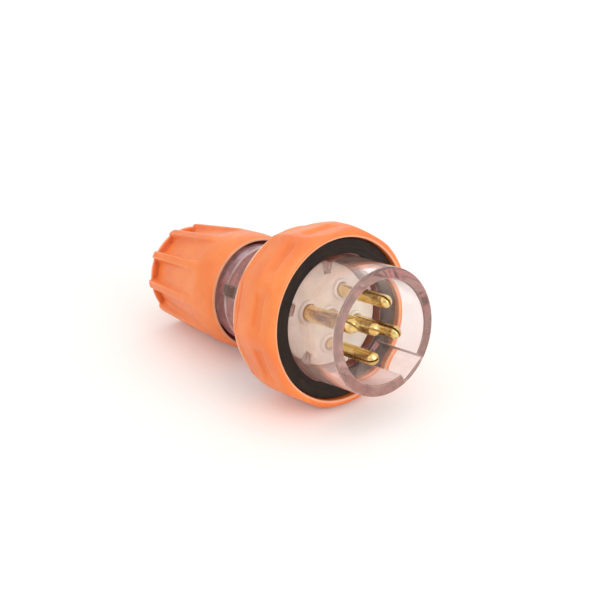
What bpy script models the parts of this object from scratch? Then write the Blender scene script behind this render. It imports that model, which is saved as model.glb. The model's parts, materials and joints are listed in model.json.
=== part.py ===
# Five-pin industrial plug: clear skirt and rear body, orange lock ring and gland nut, split round pins.
#
# Every piece is modelled on the plug's own axis. A station is the distance behind the front rim of the
# skirt, so stations grow towards the cable. An angle is measured clockwise from the top of the plug, as
# seen by someone who looks at the pins. At the end the whole plug is laid on its side, the way it comes
# to rest: on one flat of the lock ring and on the round band of the gland nut.
#
# Local axes: +X to the top of the plug, +Z to the cable. World: metres, +Z up, pins towards +X.

import math

import bmesh
import bpy
from mathutils import Matrix, Vector

MM = 0.001

# Clearances
GAP = 0.3 * MM              # between two pieces that touch or seat on each other
THREAD_GAP = 0.35 * MM      # between plain cylinders that stand for a threaded pair
RING_RUN = 0.5 * MM         # running clearance of the lock ring on the shroud's spigot
DRUM_RUN = 1.1 * MM         # and round the shroud's drum

# Skirt and shroud
SKIRT_RADIUS = 25.0 * MM
SKIRT_DRAFT = 0.5 * MM      # the skirt is this much wider at its root than at its rim
SKIRT_WALL = 4.0 * MM
SKIRT_LENGTH = 28.5 * MM    # rim to the drum's front face
RIM_ROUND = 0.5 * MM
DRUM_RADIUS = 31.2 * MM
SPIGOT_STEP = 1.6 * MM      # the spigot that carries the ring is this much smaller than the drum
SPIGOT_LENGTH = 5.6 * MM
KEYWAY_DEPTH = 2.2 * MM
KEYWAY_WIDTH = 11.0 * MM
KEYWAY_STOP = 4.5 * MM      # from the keyway's end to the root of the skirt
KEYWAY_ANGLE = 145.0

# Seals
GASKET_THICKNESS = 2.9 * MM
GASKET_MARGIN = 0.5 * MM    # between the gasket's edge and the lock ring
SEAL_CORD_RADIUS = 0.65 * MM

# Pin carrier
CARRIER_SET_BACK = 1.0 * MM  # from the root of the skirt to the carrier's front face
CARRIER_NOSE = 5.1 * MM     # length of the part that sits in the skirt
CARRIER_STEP = 2.5 * MM     # the body is this much wider than the nose
CARRIER_BODY = 11.4 * MM
BOSS_HEIGHT = 1.2 * MM
BOSS_WALL = 1.5 * MM
NOTCH_WIDTH = 5.0 * MM
NOTCH_DEPTH = 4.4 * MM
EARTH_NOTCH_DEPTH = 2.4 * MM
NOTCH_SPREAD = 68.0         # angle between neighbouring notches

# Pins
PIN_CIRCLE = 11.4 * MM
PIN_TIP = 3.8 * MM          # station of the tips
PIN_RADIUS = 2.6 * MM
EARTH_RADIUS = 3.0 * MM
EARTH_ANGLE = -67.0
LINE_SPREAD = 104.0         # angle from the earth pin to its neighbours
SPLIT_WIDTH = 0.8 * MM
SPLIT_DEPTH = 23.0 * MM     # from the tip
TERMINAL_RADIUS = 4.3 * MM
TERMINAL_LENGTH = 13.0 * MM
TERMINAL_SEAT = 2.0 * MM    # how far the terminal is let into the carrier
WIRE_RADIUS = 2.4 * MM
WIRE_DEPTH = 10.0 * MM
SCREW_SHANK = 1.45 * MM
SCREW_HEAD = 2.5 * MM
SCREW_HEAD_HEIGHT = 1.8 * MM
SCREW_FROM_END = 5.0 * MM   # terminal screw's axis, from the terminal's rear end
NEUTRAL_SCREW_ANGLE = -15.0
SCREW_TURN = 20.0           # how far round its own axis a terminal screw's slot stands

# Lock ring
SIDES = 10                  # flats of the ring and ridges of the nut
RING_LEAD = 1.7 * MM        # the ring's front lip stands this far ahead of the gasket
RING_WALL = 2.7 * MM        # in the middle of a flat, over the drum
RING_CORNER = 2.4 * MM      # height of a ridge over the flats
LIP_ROUND = 12.0 * MM       # the ridges run out over this length to the round front lip
LIP_DROP = 3.9 * MM
POCKET_START = 6.4 * MM     # from the ring's front
POCKET_LENGTH = 6.5 * MM
POCKET_DEPTH = 1.1 * MM
POCKET_HALF = 14.5          # half of a pocket's angle
POCKET_SLOPE = 3.0          # angle that its end walls take
FLAT_DROP = 2.9 * MM        # fall of the flats behind the pockets
CORNER_DROP = 5.0 * MM      # fall of the ridges at the ring's rear
CORNER_RUN = 10.5 * MM      # length of that fall

# Rear body
LIP_CATCH = 0.7 * MM        # overlap that keeps the lock ring on
LIP_LENGTH = 1.0 * MM
FLANGE_STEP = 0.6 * MM      # the flange is this much smaller than the shroud's spigot
FLANGE_LENGTH = 3.1 * MM
NOSE_LENGTH = 5.6 * MM      # part of the rear body that enters the shroud
NOSE_WALL = 4.1 * MM
CONE_RADIUS = 23.6 * MM
CONE_LENGTH = 13.0 * MM
NECK_RADIUS = 20.7 * MM
NECK_WALL = 4.3 * MM
NECK_LENGTH = 13.0 * MM
BEAD_PLACE = 5.1 * MM       # from the front of the neck
BEAD_HEIGHT = 0.5 * MM
BEAD_WIDTH = 1.4 * MM
LUG_ANGLE = -68.5           # stop that interrupts the bead
LUG_WIDTH = 5.2 * MM
LUG_HEIGHT = 0.9 * MM
LUG_LEAD = 1.5 * MM         # it starts this far ahead of the neck, on the cone
LUG_ROOT = 1.0 * MM         # it sinks this deep into the wall
THREAD_STEP = 2.1 * MM      # the thread is this much smaller than the neck
THREAD_LENGTH = 20.6 * MM
MOUTH_WALL = 2.8 * MM       # wall round the grommet
MOUTH_DEPTH = 8.6 * MM
SEAT_BORE = 12.0 * MM
SEAT_THICKNESS = 2.0 * MM

# Screws that hold the rear body on
FIXING_COUNT = 4
FIXING_SHANK = 1.1 * MM
FIXING_LENGTH = 12.3 * MM
FIXING_HEAD = 1.9 * MM
FIXING_HEAD_HEIGHT = 1.6 * MM

# Cable gland
GROMMET_BORE = 8.0 * MM
GROMMET_PROUD = 4.4 * MM    # stands out of the rear body's mouth
GROMMET_TAPER = 1.2 * MM
WASHER_THICKNESS = 1.5 * MM
WASHER_BORE = 9.0 * MM
NUT_OVERHANG = 2.8 * MM     # the nut reaches this far ahead of the thread
NUT_LENGTH = 53.7 * MM
NUT_WALL = 5.85 * MM        # over the thread, at a ridge
NUT_TAPER = 2.9 * MM        # the ridges are this much lower at the rear
NUT_STRAIGHT = 20.0 * MM    # from the nut's front to where the taper starts
BAND_LENGTH = 8.0 * MM      # rounding of the nut's front band
BAND_DROP = 1.8 * MM
SCALLOP_START = 12.5 * MM   # behind the nut's front
SCALLOP_DROP = 6.9 * MM     # fall of a scallop's floor from there to the rear
RIDGE_HALF = 3.5            # half of a ridge's angle
NUT_LIP_WIDTH = 1.8 * MM    # lip that closes the scallops at the rear
NUT_LIP_DROP = 2.4 * MM     # the lip is this much lower than the ridges
LIP_SLOPE = 0.4 * MM        # the lip rises over this length
NUT_MOUTH_GAP = 1.1 * MM    # between the neck and the nut's mouth
NUT_MOUTH_DEPTH = 7.0 * MM
NUT_CABLE_RADIUS = 13.0 * MM
NUT_SHOULDER_BORE = 15.4 * MM

# Edges
EDGE = 0.5 * MM             # chamfer of the clear mouldings and of the ring's bore
NUT_EDGE = 1.3 * MM         # rounding of the nut's rear end

# Facets
LARGE_STEPS = 48            # steps round a large turned piece
GLAND_STEPS = 40
PIN_STEPS = 20
SMALL_STEPS = 12
CORD_STEPS = 8

# Sizes that follow from the ones above
SKIRT_BORE = SKIRT_RADIUS - SKIRT_WALL
SKIRT_ROOT = SKIRT_RADIUS + SKIRT_DRAFT
GASKET_REAR = SKIRT_LENGTH - GAP
GASKET_FRONT = GASKET_REAR - GASKET_THICKNESS
CARRIER_DEPTH = SKIRT_LENGTH + CARRIER_SET_BACK
CARRIER_SHOULDER = CARRIER_DEPTH + CARRIER_NOSE
CARRIER_REAR = CARRIER_SHOULDER + CARRIER_BODY
CARRIER_NOSE_RADIUS = SKIRT_BORE - GAP
CARRIER_RADIUS = CARRIER_NOSE_RADIUS + CARRIER_STEP
SHROUD_BORE = CARRIER_RADIUS + GAP
SHROUD_SHOULDER = CARRIER_SHOULDER - GAP
SPIGOT_RADIUS = DRUM_RADIUS - SPIGOT_STEP
SPIGOT_END = CARRIER_REAR + NOSE_LENGTH
DRUM_REAR = SPIGOT_END - SPIGOT_LENGTH
TERMINAL_FRONT = CARRIER_REAR - TERMINAL_SEAT
TERMINAL_REAR = TERMINAL_FRONT + TERMINAL_LENGTH
RING_BORE = DRUM_RADIUS + DRUM_RUN
RING_HOLE = SPIGOT_RADIUS + RING_RUN
RING_FLAT = RING_BORE + RING_WALL
RING_RIDGE = RING_FLAT + RING_CORNER
RING_FRONT = GASKET_FRONT - RING_LEAD
RING_REAR = SPIGOT_END - GAP
GASKET_RADIUS = RING_BORE - GASKET_MARGIN
POCKET_FRONT = RING_FRONT + POCKET_START
POCKET_REAR = POCKET_FRONT + POCKET_LENGTH
BODY_FRONT = SPIGOT_END + GAP
LIP_RADIUS = RING_HOLE + LIP_CATCH
FLANGE_RADIUS = SPIGOT_RADIUS - FLANGE_STEP
FLANGE_REAR = BODY_FRONT + FLANGE_LENGTH
NOSE_BORE = SHROUD_BORE - NOSE_WALL
NECK_START = FLANGE_REAR + CONE_LENGTH
NECK_BORE = NECK_RADIUS - NECK_WALL
BEAD_STATION = NECK_START + BEAD_PLACE
THREAD_START = NECK_START + NECK_LENGTH
THREAD_RADIUS = NECK_RADIUS - THREAD_STEP
BODY_REAR = THREAD_START + THREAD_LENGTH
MOUTH_RADIUS = THREAD_RADIUS - MOUTH_WALL
SEAT_REAR = BODY_REAR - MOUTH_DEPTH
FIXING_CIRCLE = CONE_RADIUS + FIXING_HEAD + 2 * GAP
NUT_FRONT = THREAD_START - NUT_OVERHANG
NUT_REAR = NUT_FRONT + NUT_LENGTH
NUT_THREAD = THREAD_RADIUS + THREAD_GAP
NUT_RIDGE = NUT_THREAD + NUT_WALL
NUT_MOUTH = NECK_RADIUS + NUT_MOUTH_GAP
GROMMET_REAR = BODY_REAR + GROMMET_PROUD
WASHER_REAR = GROMMET_REAR + GAP + WASHER_THICKNESS
NUT_SHOULDER = WASHER_REAR + GAP

# The pins: name, distance from the axis, angle, radius, direction of the split
PINS = [
    ("earth", PIN_CIRCLE, EARTH_ANGLE, EARTH_RADIUS, -44.0),
    ("line_1", PIN_CIRCLE, EARTH_ANGLE + LINE_SPREAD, PIN_RADIUS, -24.0),
    ("line_2", PIN_CIRCLE, EARTH_ANGLE + 180.0, PIN_RADIUS, -27.0),
    ("line_3", PIN_CIRCLE, EARTH_ANGLE - LINE_SPREAD, PIN_RADIUS, -99.0),
    ("neutral", 0.0, 0.0, PIN_RADIUS, -61.0),
]


def polar(radius, angle, station=0.0):
    """A point at this distance from the axis, at this angle in degrees."""
    turn = math.radians(angle)
    return Vector((radius * math.cos(turn), radius * math.sin(turn), station))


def between(x, x0, x1):
    """How far x has gone from x0 to x1, held between 0 and 1."""
    return min(1.0, max(0.0, (x - x0) / (x1 - x0)))


def rounding(behind, length, drop):
    """Fall of a rounded end this far behind it: an ellipse of this length and drop."""
    return drop * (1.0 - math.sqrt(1.0 - (1.0 - between(behind, 0.0, length)) ** 2))


# Building blocks

def linear(hex_colour):
    """An sRGB hex colour as linear red, green, blue and alpha."""
    channels = [int(hex_colour[i:i + 2], 16) / 255 for i in (0, 2, 4)]
    low = [c / 12.92 if c <= 0.04045 else ((c + 0.055) / 1.055) ** 2.4 for c in channels]
    return (*low, 1.0)


def material(name, hex_colour, roughness, metallic=0.0, transmission=0.0):
    """A Principled material."""
    made = bpy.data.materials.new(name)
    made.use_nodes = True
    shader = made.node_tree.nodes["Principled BSDF"]
    shader.inputs["Base Color"].default_value = linear(hex_colour)
    shader.inputs["Roughness"].default_value = roughness
    shader.inputs["Metallic"].default_value = metallic
    shader.inputs["Transmission Weight"].default_value = transmission
    made.diffuse_color = linear(hex_colour)
    return made


def finish_mesh(name, bm):
    """Turns a bmesh into a mesh with its faces pointing out and its round faces shaded smooth."""
    bmesh.ops.recalc_face_normals(bm, faces=bm.faces)
    mesh = bpy.data.meshes.new(name)
    bm.to_mesh(mesh)
    bm.free()
    mesh.shade_smooth()
    mesh.set_sharp_from_angle(angle=math.radians(32))
    return mesh


def place(name, mesh, parent, finish=None):
    """Puts a mesh in the scene under its own name."""
    made = bpy.data.objects.new(name, mesh)
    bpy.context.collection.objects.link(made)
    made.parent = parent
    if finish:
        mesh.materials.append(finish)
    return made


def cutter(name, bm, parent):
    """A guide for a Boolean, which isn't a piece of the plug by itself."""
    made = place(name, finish_mesh(name, bm), parent)
    made.hide_render = True
    made.display_type = "WIRE"
    return made


def boolean(target, tool, operation):
    """Adds a Boolean to a piece."""
    change = target.modifiers.new(tool.name, "BOOLEAN")
    change.operation = operation
    change.solver = "EXACT"
    change.object = tool


def loft(bm, loops, closed):
    """Skins loops of points. Closed joins the last loop to the first, and otherwise the ends are capped."""
    rings = [[bm.verts.new(point) for point in loop] for loop in loops]
    pairs = list(zip(rings, rings[1:]))
    if closed:
        pairs.append((rings[-1], rings[0]))
    else:
        bm.faces.new(rings[0])
        bm.faces.new(list(reversed(rings[-1])))
    for one, two in pairs:
        for i in range(len(one)):
            j = (i + 1) % len(one)
            bm.faces.new((one[i], two[i], two[j], one[j]))


def turned(bm, profile, steps, matrix=Matrix.Identity(4), closed=False):
    """Turns a profile of (station, radius) points about the axis. A closed profile makes a tube."""
    angles = [360.0 * i / steps for i in range(steps)]
    loops = [[matrix @ polar(radius, angle, station) for angle in angles] for station, radius in profile]
    loft(bm, loops, closed)


def block(bm, size, matrix):
    """A box of this size, placed by its centre."""
    scale = Matrix.Diagonal((*size, 1.0))
    bmesh.ops.create_cube(bm, size=1.0, matrix=matrix @ scale)


def at(radius, angle, station=0.0):
    """Frame of a spot on the plug: X points away from the axis and Z to the cable."""
    return Matrix.Translation(polar(radius, angle, station)) @ Matrix.Rotation(math.radians(angle), 4, "Z")


def quarter(centre_x, centre_y, radius, start, end, steps):
    """Points on an arc, in degrees, for a profile."""
    turns = [math.radians(start + (end - start) * i / steps) for i in range(steps + 1)]
    return [(centre_x + radius * math.cos(t), centre_y + radius * math.sin(t)) for t in turns]


# Clear front moulding: skirt, drum and spigot

def front_shroud(parent, clear):
    """Skirt round the pins, with its keyway, and the drum that the lock ring turns on."""
    profile = [
        (0.0, SKIRT_BORE + RIM_ROUND),
        (0.0, SKIRT_RADIUS - RIM_ROUND),
        (RIM_ROUND, SKIRT_RADIUS),
        (SKIRT_LENGTH, SKIRT_ROOT),
        (SKIRT_LENGTH, DRUM_RADIUS),
        (DRUM_REAR, DRUM_RADIUS),
        (DRUM_REAR, SPIGOT_RADIUS),
        (SPIGOT_END, SPIGOT_RADIUS),
        (SPIGOT_END, SHROUD_BORE),
        (SHROUD_SHOULDER, SHROUD_BORE),
        (SHROUD_SHOULDER, SKIRT_BORE),
        (RIM_ROUND, SKIRT_BORE),
    ]
    bm = bmesh.new()
    turned(bm, profile, LARGE_STEPS, closed=True)
    shroud = place("front_shroud", finish_mesh("front_shroud", bm), parent, clear)

    bm = bmesh.new()
    inside = SKIRT_BORE * 0.5
    outside = SKIRT_BORE + KEYWAY_DEPTH
    size = (outside - inside, KEYWAY_WIDTH, 2 * (SKIRT_LENGTH - KEYWAY_STOP))
    block(bm, size, at((inside + outside) / 2, KEYWAY_ANGLE))
    boolean(shroud, cutter("keyway_cutter", bm, parent), "DIFFERENCE")

    bm = bmesh.new()
    overlap = SKIRT_WALL / 2
    length = SHROUD_SHOULDER - CARRIER_DEPTH
    for angle, depth in notches():
        reach = depth - GAP
        size = (reach + overlap, NOTCH_WIDTH - 2 * GAP, length)
        middle = SKIRT_BORE + (overlap - reach) / 2
        block(bm, size, at(middle, angle, CARRIER_DEPTH + length / 2))
    boolean(shroud, cutter("rib_guide", bm, parent), "UNION")

    bm = bmesh.new()
    floor = fixing_seat() - FIXING_LENGTH - 2 * GAP
    for angle in fixing_angles():
        hole = [(floor, FIXING_SHANK + GAP), (SPIGOT_END + GAP, FIXING_SHANK + GAP)]
        turned(bm, hole, SMALL_STEPS, at(FIXING_CIRCLE, angle))
    boolean(shroud, cutter("shroud_hole_cutter", bm, parent), "DIFFERENCE")


def notches():
    """Angle and depth of each notch in the carrier's nose, which a rib of the shroud keys into."""
    found = []
    for step in (-2, -1, 0, 1, 2):
        depth = NOTCH_DEPTH if step else EARTH_NOTCH_DEPTH
        found.append((EARTH_ANGLE + step * NOTCH_SPREAD, depth))
    return found


def sealing_gasket(parent, rubber):
    """Flat washer that seals the plug against its socket."""
    inner = SKIRT_ROOT + GAP
    profile = [
        (GASKET_FRONT, inner),
        (GASKET_FRONT, GASKET_RADIUS - EDGE),
        (GASKET_FRONT + EDGE, GASKET_RADIUS),
        (GASKET_REAR, GASKET_RADIUS),
        (GASKET_REAR, inner),
    ]
    bm = bmesh.new()
    turned(bm, profile, LARGE_STEPS, closed=True)
    place("sealing_gasket", finish_mesh("sealing_gasket", bm), parent, rubber)


# Pin carrier, pins and terminal screws

def pin_carrier(parent, cream):
    """Insulating block that holds the five pins."""
    edge = GAP
    profile = [
        (CARRIER_DEPTH, CARRIER_NOSE_RADIUS - edge),
        (CARRIER_DEPTH + edge, CARRIER_NOSE_RADIUS),
        (CARRIER_SHOULDER, CARRIER_NOSE_RADIUS),
        (CARRIER_SHOULDER, CARRIER_RADIUS),
        (CARRIER_REAR, CARRIER_RADIUS),
    ]
    bm = bmesh.new()
    turned(bm, profile, LARGE_STEPS)
    carrier = place("pin_carrier", finish_mesh("pin_carrier", bm), parent, cream)

    bm = bmesh.new()
    for name, radius, angle, thickness, split in PINS:
        outer = thickness + BOSS_WALL
        rim = CARRIER_DEPTH - BOSS_HEIGHT
        boss = [(rim, outer - GAP), (rim + GAP, outer), (CARRIER_DEPTH + GAP, outer)]
        turned(bm, boss, PIN_STEPS, at(radius, angle))
    boolean(carrier, cutter("boss_guide", bm, parent), "UNION")

    bm = bmesh.new()
    for name, radius, angle, thickness, split in PINS:
        hole = [
            (CARRIER_DEPTH - 2 * BOSS_HEIGHT, thickness + GAP),
            (TERMINAL_FRONT - GAP, thickness + GAP),
            (TERMINAL_FRONT - GAP, TERMINAL_RADIUS + GAP),
            (CARRIER_REAR + GAP, TERMINAL_RADIUS + GAP),
        ]
        turned(bm, hole, PIN_STEPS, at(radius, angle))
    boolean(carrier, cutter("pin_hole_cutter", bm, parent), "DIFFERENCE")

    bm = bmesh.new()
    for angle, depth in notches():
        length = CARRIER_NOSE
        size = (2 * depth, NOTCH_WIDTH, 2 * length)
        block(bm, size, at(CARRIER_NOSE_RADIUS, angle, CARRIER_DEPTH))
    boolean(carrier, cutter("notch_cutter", bm, parent), "DIFFERENCE")


def pin(parent, name, radius, angle, thickness, split, brass):
    """Split round pin with a domed tip and a screw terminal at its rear."""
    dome = quarter(PIN_TIP + thickness, 0.0, thickness, 174, 90, 4)
    edge = GAP
    profile = dome + [
        (TERMINAL_FRONT, thickness),
        (TERMINAL_FRONT, TERMINAL_RADIUS - edge),
        (TERMINAL_FRONT + edge, TERMINAL_RADIUS),
        (TERMINAL_REAR - edge, TERMINAL_RADIUS),
        (TERMINAL_REAR, TERMINAL_RADIUS - edge),
    ]
    spot = at(radius, angle)
    bm = bmesh.new()
    turned(bm, profile, PIN_STEPS, spot)
    made = place(name + "_pin", finish_mesh(name + "_pin", bm), parent, brass)

    bm = bmesh.new()
    turn = Matrix.Rotation(math.radians(split), 4, "Z")
    middle = Matrix.Translation(polar(radius, angle, PIN_TIP))
    block(bm, (TERMINAL_RADIUS * 2, SPLIT_WIDTH, SPLIT_DEPTH * 2), middle @ turn)
    boolean(made, cutter(name + "_split_cutter", bm, parent), "DIFFERENCE")

    bm = bmesh.new()
    wire = [(TERMINAL_REAR - WIRE_DEPTH, WIRE_RADIUS), (TERMINAL_REAR + GAP, WIRE_RADIUS)]
    turned(bm, wire, SMALL_STEPS, spot)
    boolean(made, cutter(name + "_wire_cutter", bm, parent), "DIFFERENCE")

    bm = bmesh.new()
    tapped = [(0.0, SCREW_SHANK + GAP), (TERMINAL_RADIUS + GAP, SCREW_SHANK + GAP)]
    turned(bm, tapped, SMALL_STEPS, terminal_screw_frame(radius, angle))
    boolean(made, cutter(name + "_tapped_cutter", bm, parent), "DIFFERENCE")


def terminal_screw_frame(radius, angle):
    """Frame on a terminal with Z along its screw, away from the axis of the plug."""
    facing = angle if radius else NEUTRAL_SCREW_ANGLE
    spot = Matrix.Translation(polar(radius, angle, TERMINAL_REAR - SCREW_FROM_END))
    outward = Matrix.Rotation(math.radians(facing), 4, "Z") @ Matrix.Rotation(math.radians(90), 4, "Y")
    return spot @ outward @ Matrix.Rotation(math.radians(SCREW_TURN), 4, "Z")


def screw(bm, frame, tip, seat, shank, head, height):
    """Cheese-head screw along a frame's Z: its tip, the underside of its head, and its radii."""
    edge = height * 0.2
    profile = [
        (tip, shank * 0.7),
        (tip + shank * 0.5, shank),
        (seat, shank),
        (seat, head),
        (seat + height - edge, head),
        (seat + height, head - edge),
    ]
    turned(bm, profile, SMALL_STEPS, frame)


def screw_slot(bm, frame, seat, head, height):
    """Driver slot across a screw's head."""
    size = (head * 3, head * 0.3, height)
    block(bm, size, frame @ Matrix.Translation((0, 0, seat + height)))


def terminal_screw(parent, name, radius, angle, steel):
    """Screw that clamps one wire in its terminal."""
    frame = terminal_screw_frame(radius, angle)
    seat = TERMINAL_RADIUS + GAP
    tip = WIRE_RADIUS * 0.4
    bm = bmesh.new()
    screw(bm, frame, tip, seat, SCREW_SHANK, SCREW_HEAD, SCREW_HEAD_HEIGHT)
    made = place(name + "_screw", finish_mesh(name + "_screw", bm), parent, steel)
    bm = bmesh.new()
    screw_slot(bm, frame, seat, SCREW_HEAD, SCREW_HEAD_HEIGHT)
    boolean(made, cutter(name + "_slot_cutter", bm, parent), "DIFFERENCE")


# Lock ring

def ring_corner(station):
    """Radius that the ring's ridges are turned down to."""
    rear = between(station, RING_REAR - CORNER_RUN, RING_REAR)
    return RING_RIDGE - rounding(station - RING_FRONT, LIP_ROUND, LIP_DROP) - CORNER_DROP * rear ** 2.5


def ring_flat(station):
    """Distance from the axis to the middle of a flat."""
    return RING_FLAT - FLAT_DROP * between(station, POCKET_REAR, RING_REAR) ** 1.4


def ring_radius(station, off):
    """Radius of the ring's outside, at an angle off the middle of a flat."""
    radius = min(ring_flat(station) / math.cos(math.radians(off)), ring_corner(station))
    side = between(abs(off), POCKET_HALF, POCKET_HALF - POCKET_SLOPE)
    front = between(station, POCKET_FRONT, POCKET_FRONT + EDGE)
    rear = between(station, POCKET_REAR, POCKET_REAR - 2 * EDGE)
    return radius - POCKET_DEPTH * side * front * rear


def ring_spots():
    """Angles of the ring's columns of points, each with its angle off the middle of its flat."""
    inner = POCKET_HALF - POCKET_SLOPE
    offs = (-POCKET_HALF, -inner, -inner / 3, inner / 3, inner, POCKET_HALF, 180.0 / SIDES)
    return [(flat * 360.0 / SIDES + off, off) for flat in range(SIDES) for off in offs]


def ring_stations():
    """Stations of the ring's rows of points: lip, pocket and rear."""
    lip = [RING_FRONT + POCKET_START * part for part in (0.0, 0.05, 0.15, 0.4, 0.75)]
    pocket = [POCKET_FRONT, POCKET_FRONT + EDGE, POCKET_REAR - 2 * EDGE, POCKET_REAR]
    rear = [RING_REAR - CORNER_RUN * part for part in (1.0, 0.57, 0.3, 0.15, 0.05, 0.0)]
    return lip + pocket + rear


def lock_ring(parent, orange):
    """Ring that screws the plug to its socket: ten flats with a grip pocket in each."""
    spots = ring_spots()
    loops = [[polar(ring_radius(z, off), angle, z) for angle, off in spots] for z in ring_stations()]
    wall = DRUM_REAR + GAP
    bore = [
        (RING_REAR, RING_HOLE + EDGE),
        (RING_REAR - EDGE, RING_HOLE),
        (wall, RING_HOLE),
        (wall, RING_BORE),
        (RING_FRONT + EDGE, RING_BORE),
        (RING_FRONT, RING_BORE + EDGE),
    ]
    loops += [[polar(radius, angle, z) for angle, off in spots] for z, radius in bore]
    bm = bmesh.new()
    loft(bm, loops, closed=True)
    place("lock_ring", finish_mesh("lock_ring", bm), parent, orange)


# Clear rear moulding and what holds it on

def fixing_angles():
    """Angles of the screws that hold the rear body."""
    return [360.0 * (i + 0.5) / FIXING_COUNT for i in range(FIXING_COUNT)]


def fixing_floor():
    """Station of the floor of a fixing screw's pocket."""
    return FLANGE_REAR - FIXING_HEAD_HEIGHT - GAP


def fixing_seat():
    """Station of the underside of a fixing screw's head."""
    return fixing_floor() + GAP


def seal_station():
    """Station of the middle of the body seal."""
    return (BODY_FRONT + CARRIER_REAR) / 2


def rear_body(parent, clear):
    """Cover behind the terminals: flange, cone and neck, with the gland's thread on its end."""
    nose = CARRIER_REAR + GAP
    barrel = SHROUD_BORE - THREAD_GAP
    groove = SHROUD_BORE - 2 * GAP - 2 * SEAL_CORD_RADIUS
    groove_half = SEAL_CORD_RADIUS + GAP
    step = CONE_RADIUS - NECK_RADIUS
    profile = [
        (nose, NOSE_BORE),
        (nose, barrel),
        (seal_station() - groove_half, barrel),
        (seal_station() - groove_half, groove),
        (seal_station() + groove_half, groove),
        (seal_station() + groove_half, barrel),
        (BODY_FRONT, barrel),
        (BODY_FRONT, LIP_RADIUS),
        (BODY_FRONT + LIP_LENGTH, LIP_RADIUS),
        (BODY_FRONT + LIP_LENGTH, FLANGE_RADIUS),
        (FLANGE_REAR - EDGE, FLANGE_RADIUS),
        (FLANGE_REAR, FLANGE_RADIUS - EDGE),
        (FLANGE_REAR, CONE_RADIUS),
        (FLANGE_REAR + CONE_LENGTH * 0.3, NECK_RADIUS + step * 0.82),
        (FLANGE_REAR + CONE_LENGTH * 0.6, NECK_RADIUS + step * 0.42),
        (FLANGE_REAR + CONE_LENGTH * 0.85, NECK_RADIUS + step * 0.1),
        (NECK_START, NECK_RADIUS),
        (BEAD_STATION - BEAD_WIDTH / 2, NECK_RADIUS),
        (BEAD_STATION - BEAD_WIDTH / 4, NECK_RADIUS + BEAD_HEIGHT),
        (BEAD_STATION + BEAD_WIDTH / 4, NECK_RADIUS + BEAD_HEIGHT),
        (BEAD_STATION + BEAD_WIDTH / 2, NECK_RADIUS),
        (THREAD_START, NECK_RADIUS),
        (THREAD_START, THREAD_RADIUS),
        (BODY_REAR - EDGE, THREAD_RADIUS),
        (BODY_REAR, THREAD_RADIUS - EDGE),
        (BODY_REAR, MOUTH_RADIUS),
        (SEAT_REAR, MOUTH_RADIUS),
        (SEAT_REAR, SEAT_BORE),
        (SEAT_REAR - SEAT_THICKNESS, SEAT_BORE),
        (SEAT_REAR - SEAT_THICKNESS, NECK_BORE),
        (NECK_START, NECK_BORE),
        (FLANGE_REAR + CONE_LENGTH * 0.3, NOSE_BORE),
    ]
    bm = bmesh.new()
    turned(bm, profile, LARGE_STEPS, closed=True)
    body = place("rear_body", finish_mesh("rear_body", bm), parent, clear)

    lug_front = NECK_START - LUG_LEAD
    lug_rear = BEAD_STATION + BEAD_WIDTH
    bm = bmesh.new()
    size = (LUG_ROOT + LUG_HEIGHT, LUG_WIDTH, lug_rear - lug_front)
    block(bm, size, at(NECK_RADIUS + (LUG_HEIGHT - LUG_ROOT) / 2, LUG_ANGLE, (lug_front + lug_rear) / 2))
    boolean(body, cutter("lug_adder", bm, parent), "UNION")

    bm = bmesh.new()
    for angle in fixing_angles():
        hole = [
            (BODY_FRONT - GAP, FIXING_SHANK + GAP),
            (fixing_floor(), FIXING_SHANK + GAP),
            (fixing_floor(), FIXING_HEAD + GAP),
            (FLANGE_REAR + GAP, FIXING_HEAD + GAP),
        ]
        turned(bm, hole, SMALL_STEPS, at(FIXING_CIRCLE, angle))
    boolean(body, cutter("fixing_hole_cutter", bm, parent), "DIFFERENCE")


def body_seal(parent, rubber):
    """Sealing cord in the groove of the rear body's spigot."""
    middle = SHROUD_BORE - GAP - SEAL_CORD_RADIUS
    turns = quarter(seal_station(), middle, SEAL_CORD_RADIUS, 0, 360, CORD_STEPS)
    bm = bmesh.new()
    turned(bm, turns[:-1], LARGE_STEPS, closed=True)
    place("body_seal", finish_mesh("body_seal", bm), parent, rubber)


def fixing_screw(parent, number, angle, steel):
    """Screw through the rear body's flange into the shroud."""
    name = "fixing_screw_%d" % number
    frame = at(FIXING_CIRCLE, angle)
    tip = fixing_seat() - FIXING_LENGTH
    bm = bmesh.new()
    screw(bm, frame, tip, fixing_seat(), FIXING_SHANK, FIXING_HEAD, FIXING_HEAD_HEIGHT)
    made = place(name, finish_mesh(name, bm), parent, steel)
    bm = bmesh.new()
    screw_slot(bm, frame, fixing_seat(), FIXING_HEAD, FIXING_HEAD_HEIGHT)
    boolean(made, cutter(name + "_slot_cutter", bm, parent), "DIFFERENCE")


# Cable gland

def cable_grommet(parent, rubber):
    """Rubber bush that the gland nut squeezes round the cable."""
    outer = MOUTH_RADIUS - GAP
    front = SEAT_REAR + GAP
    profile = [
        (front, GROMMET_BORE),
        (front, outer),
        (BODY_REAR, outer),
        (GROMMET_REAR, outer - GROMMET_TAPER),
        (GROMMET_REAR, GROMMET_BORE),
    ]
    bm = bmesh.new()
    turned(bm, profile, GLAND_STEPS, closed=True)
    place("cable_grommet", finish_mesh("cable_grommet", bm), parent, rubber)


def slip_washer(parent, nylon):
    """Washer that lets the nut turn without dragging the grommet."""
    outer = NUT_THREAD - 2 * GAP
    front = WASHER_REAR - WASHER_THICKNESS
    profile = [(front, WASHER_BORE), (front, outer), (WASHER_REAR, outer), (WASHER_REAR, WASHER_BORE)]
    bm = bmesh.new()
    turned(bm, profile, GLAND_STEPS, closed=True)
    place("slip_washer", finish_mesh("slip_washer", bm), parent, nylon)


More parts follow.
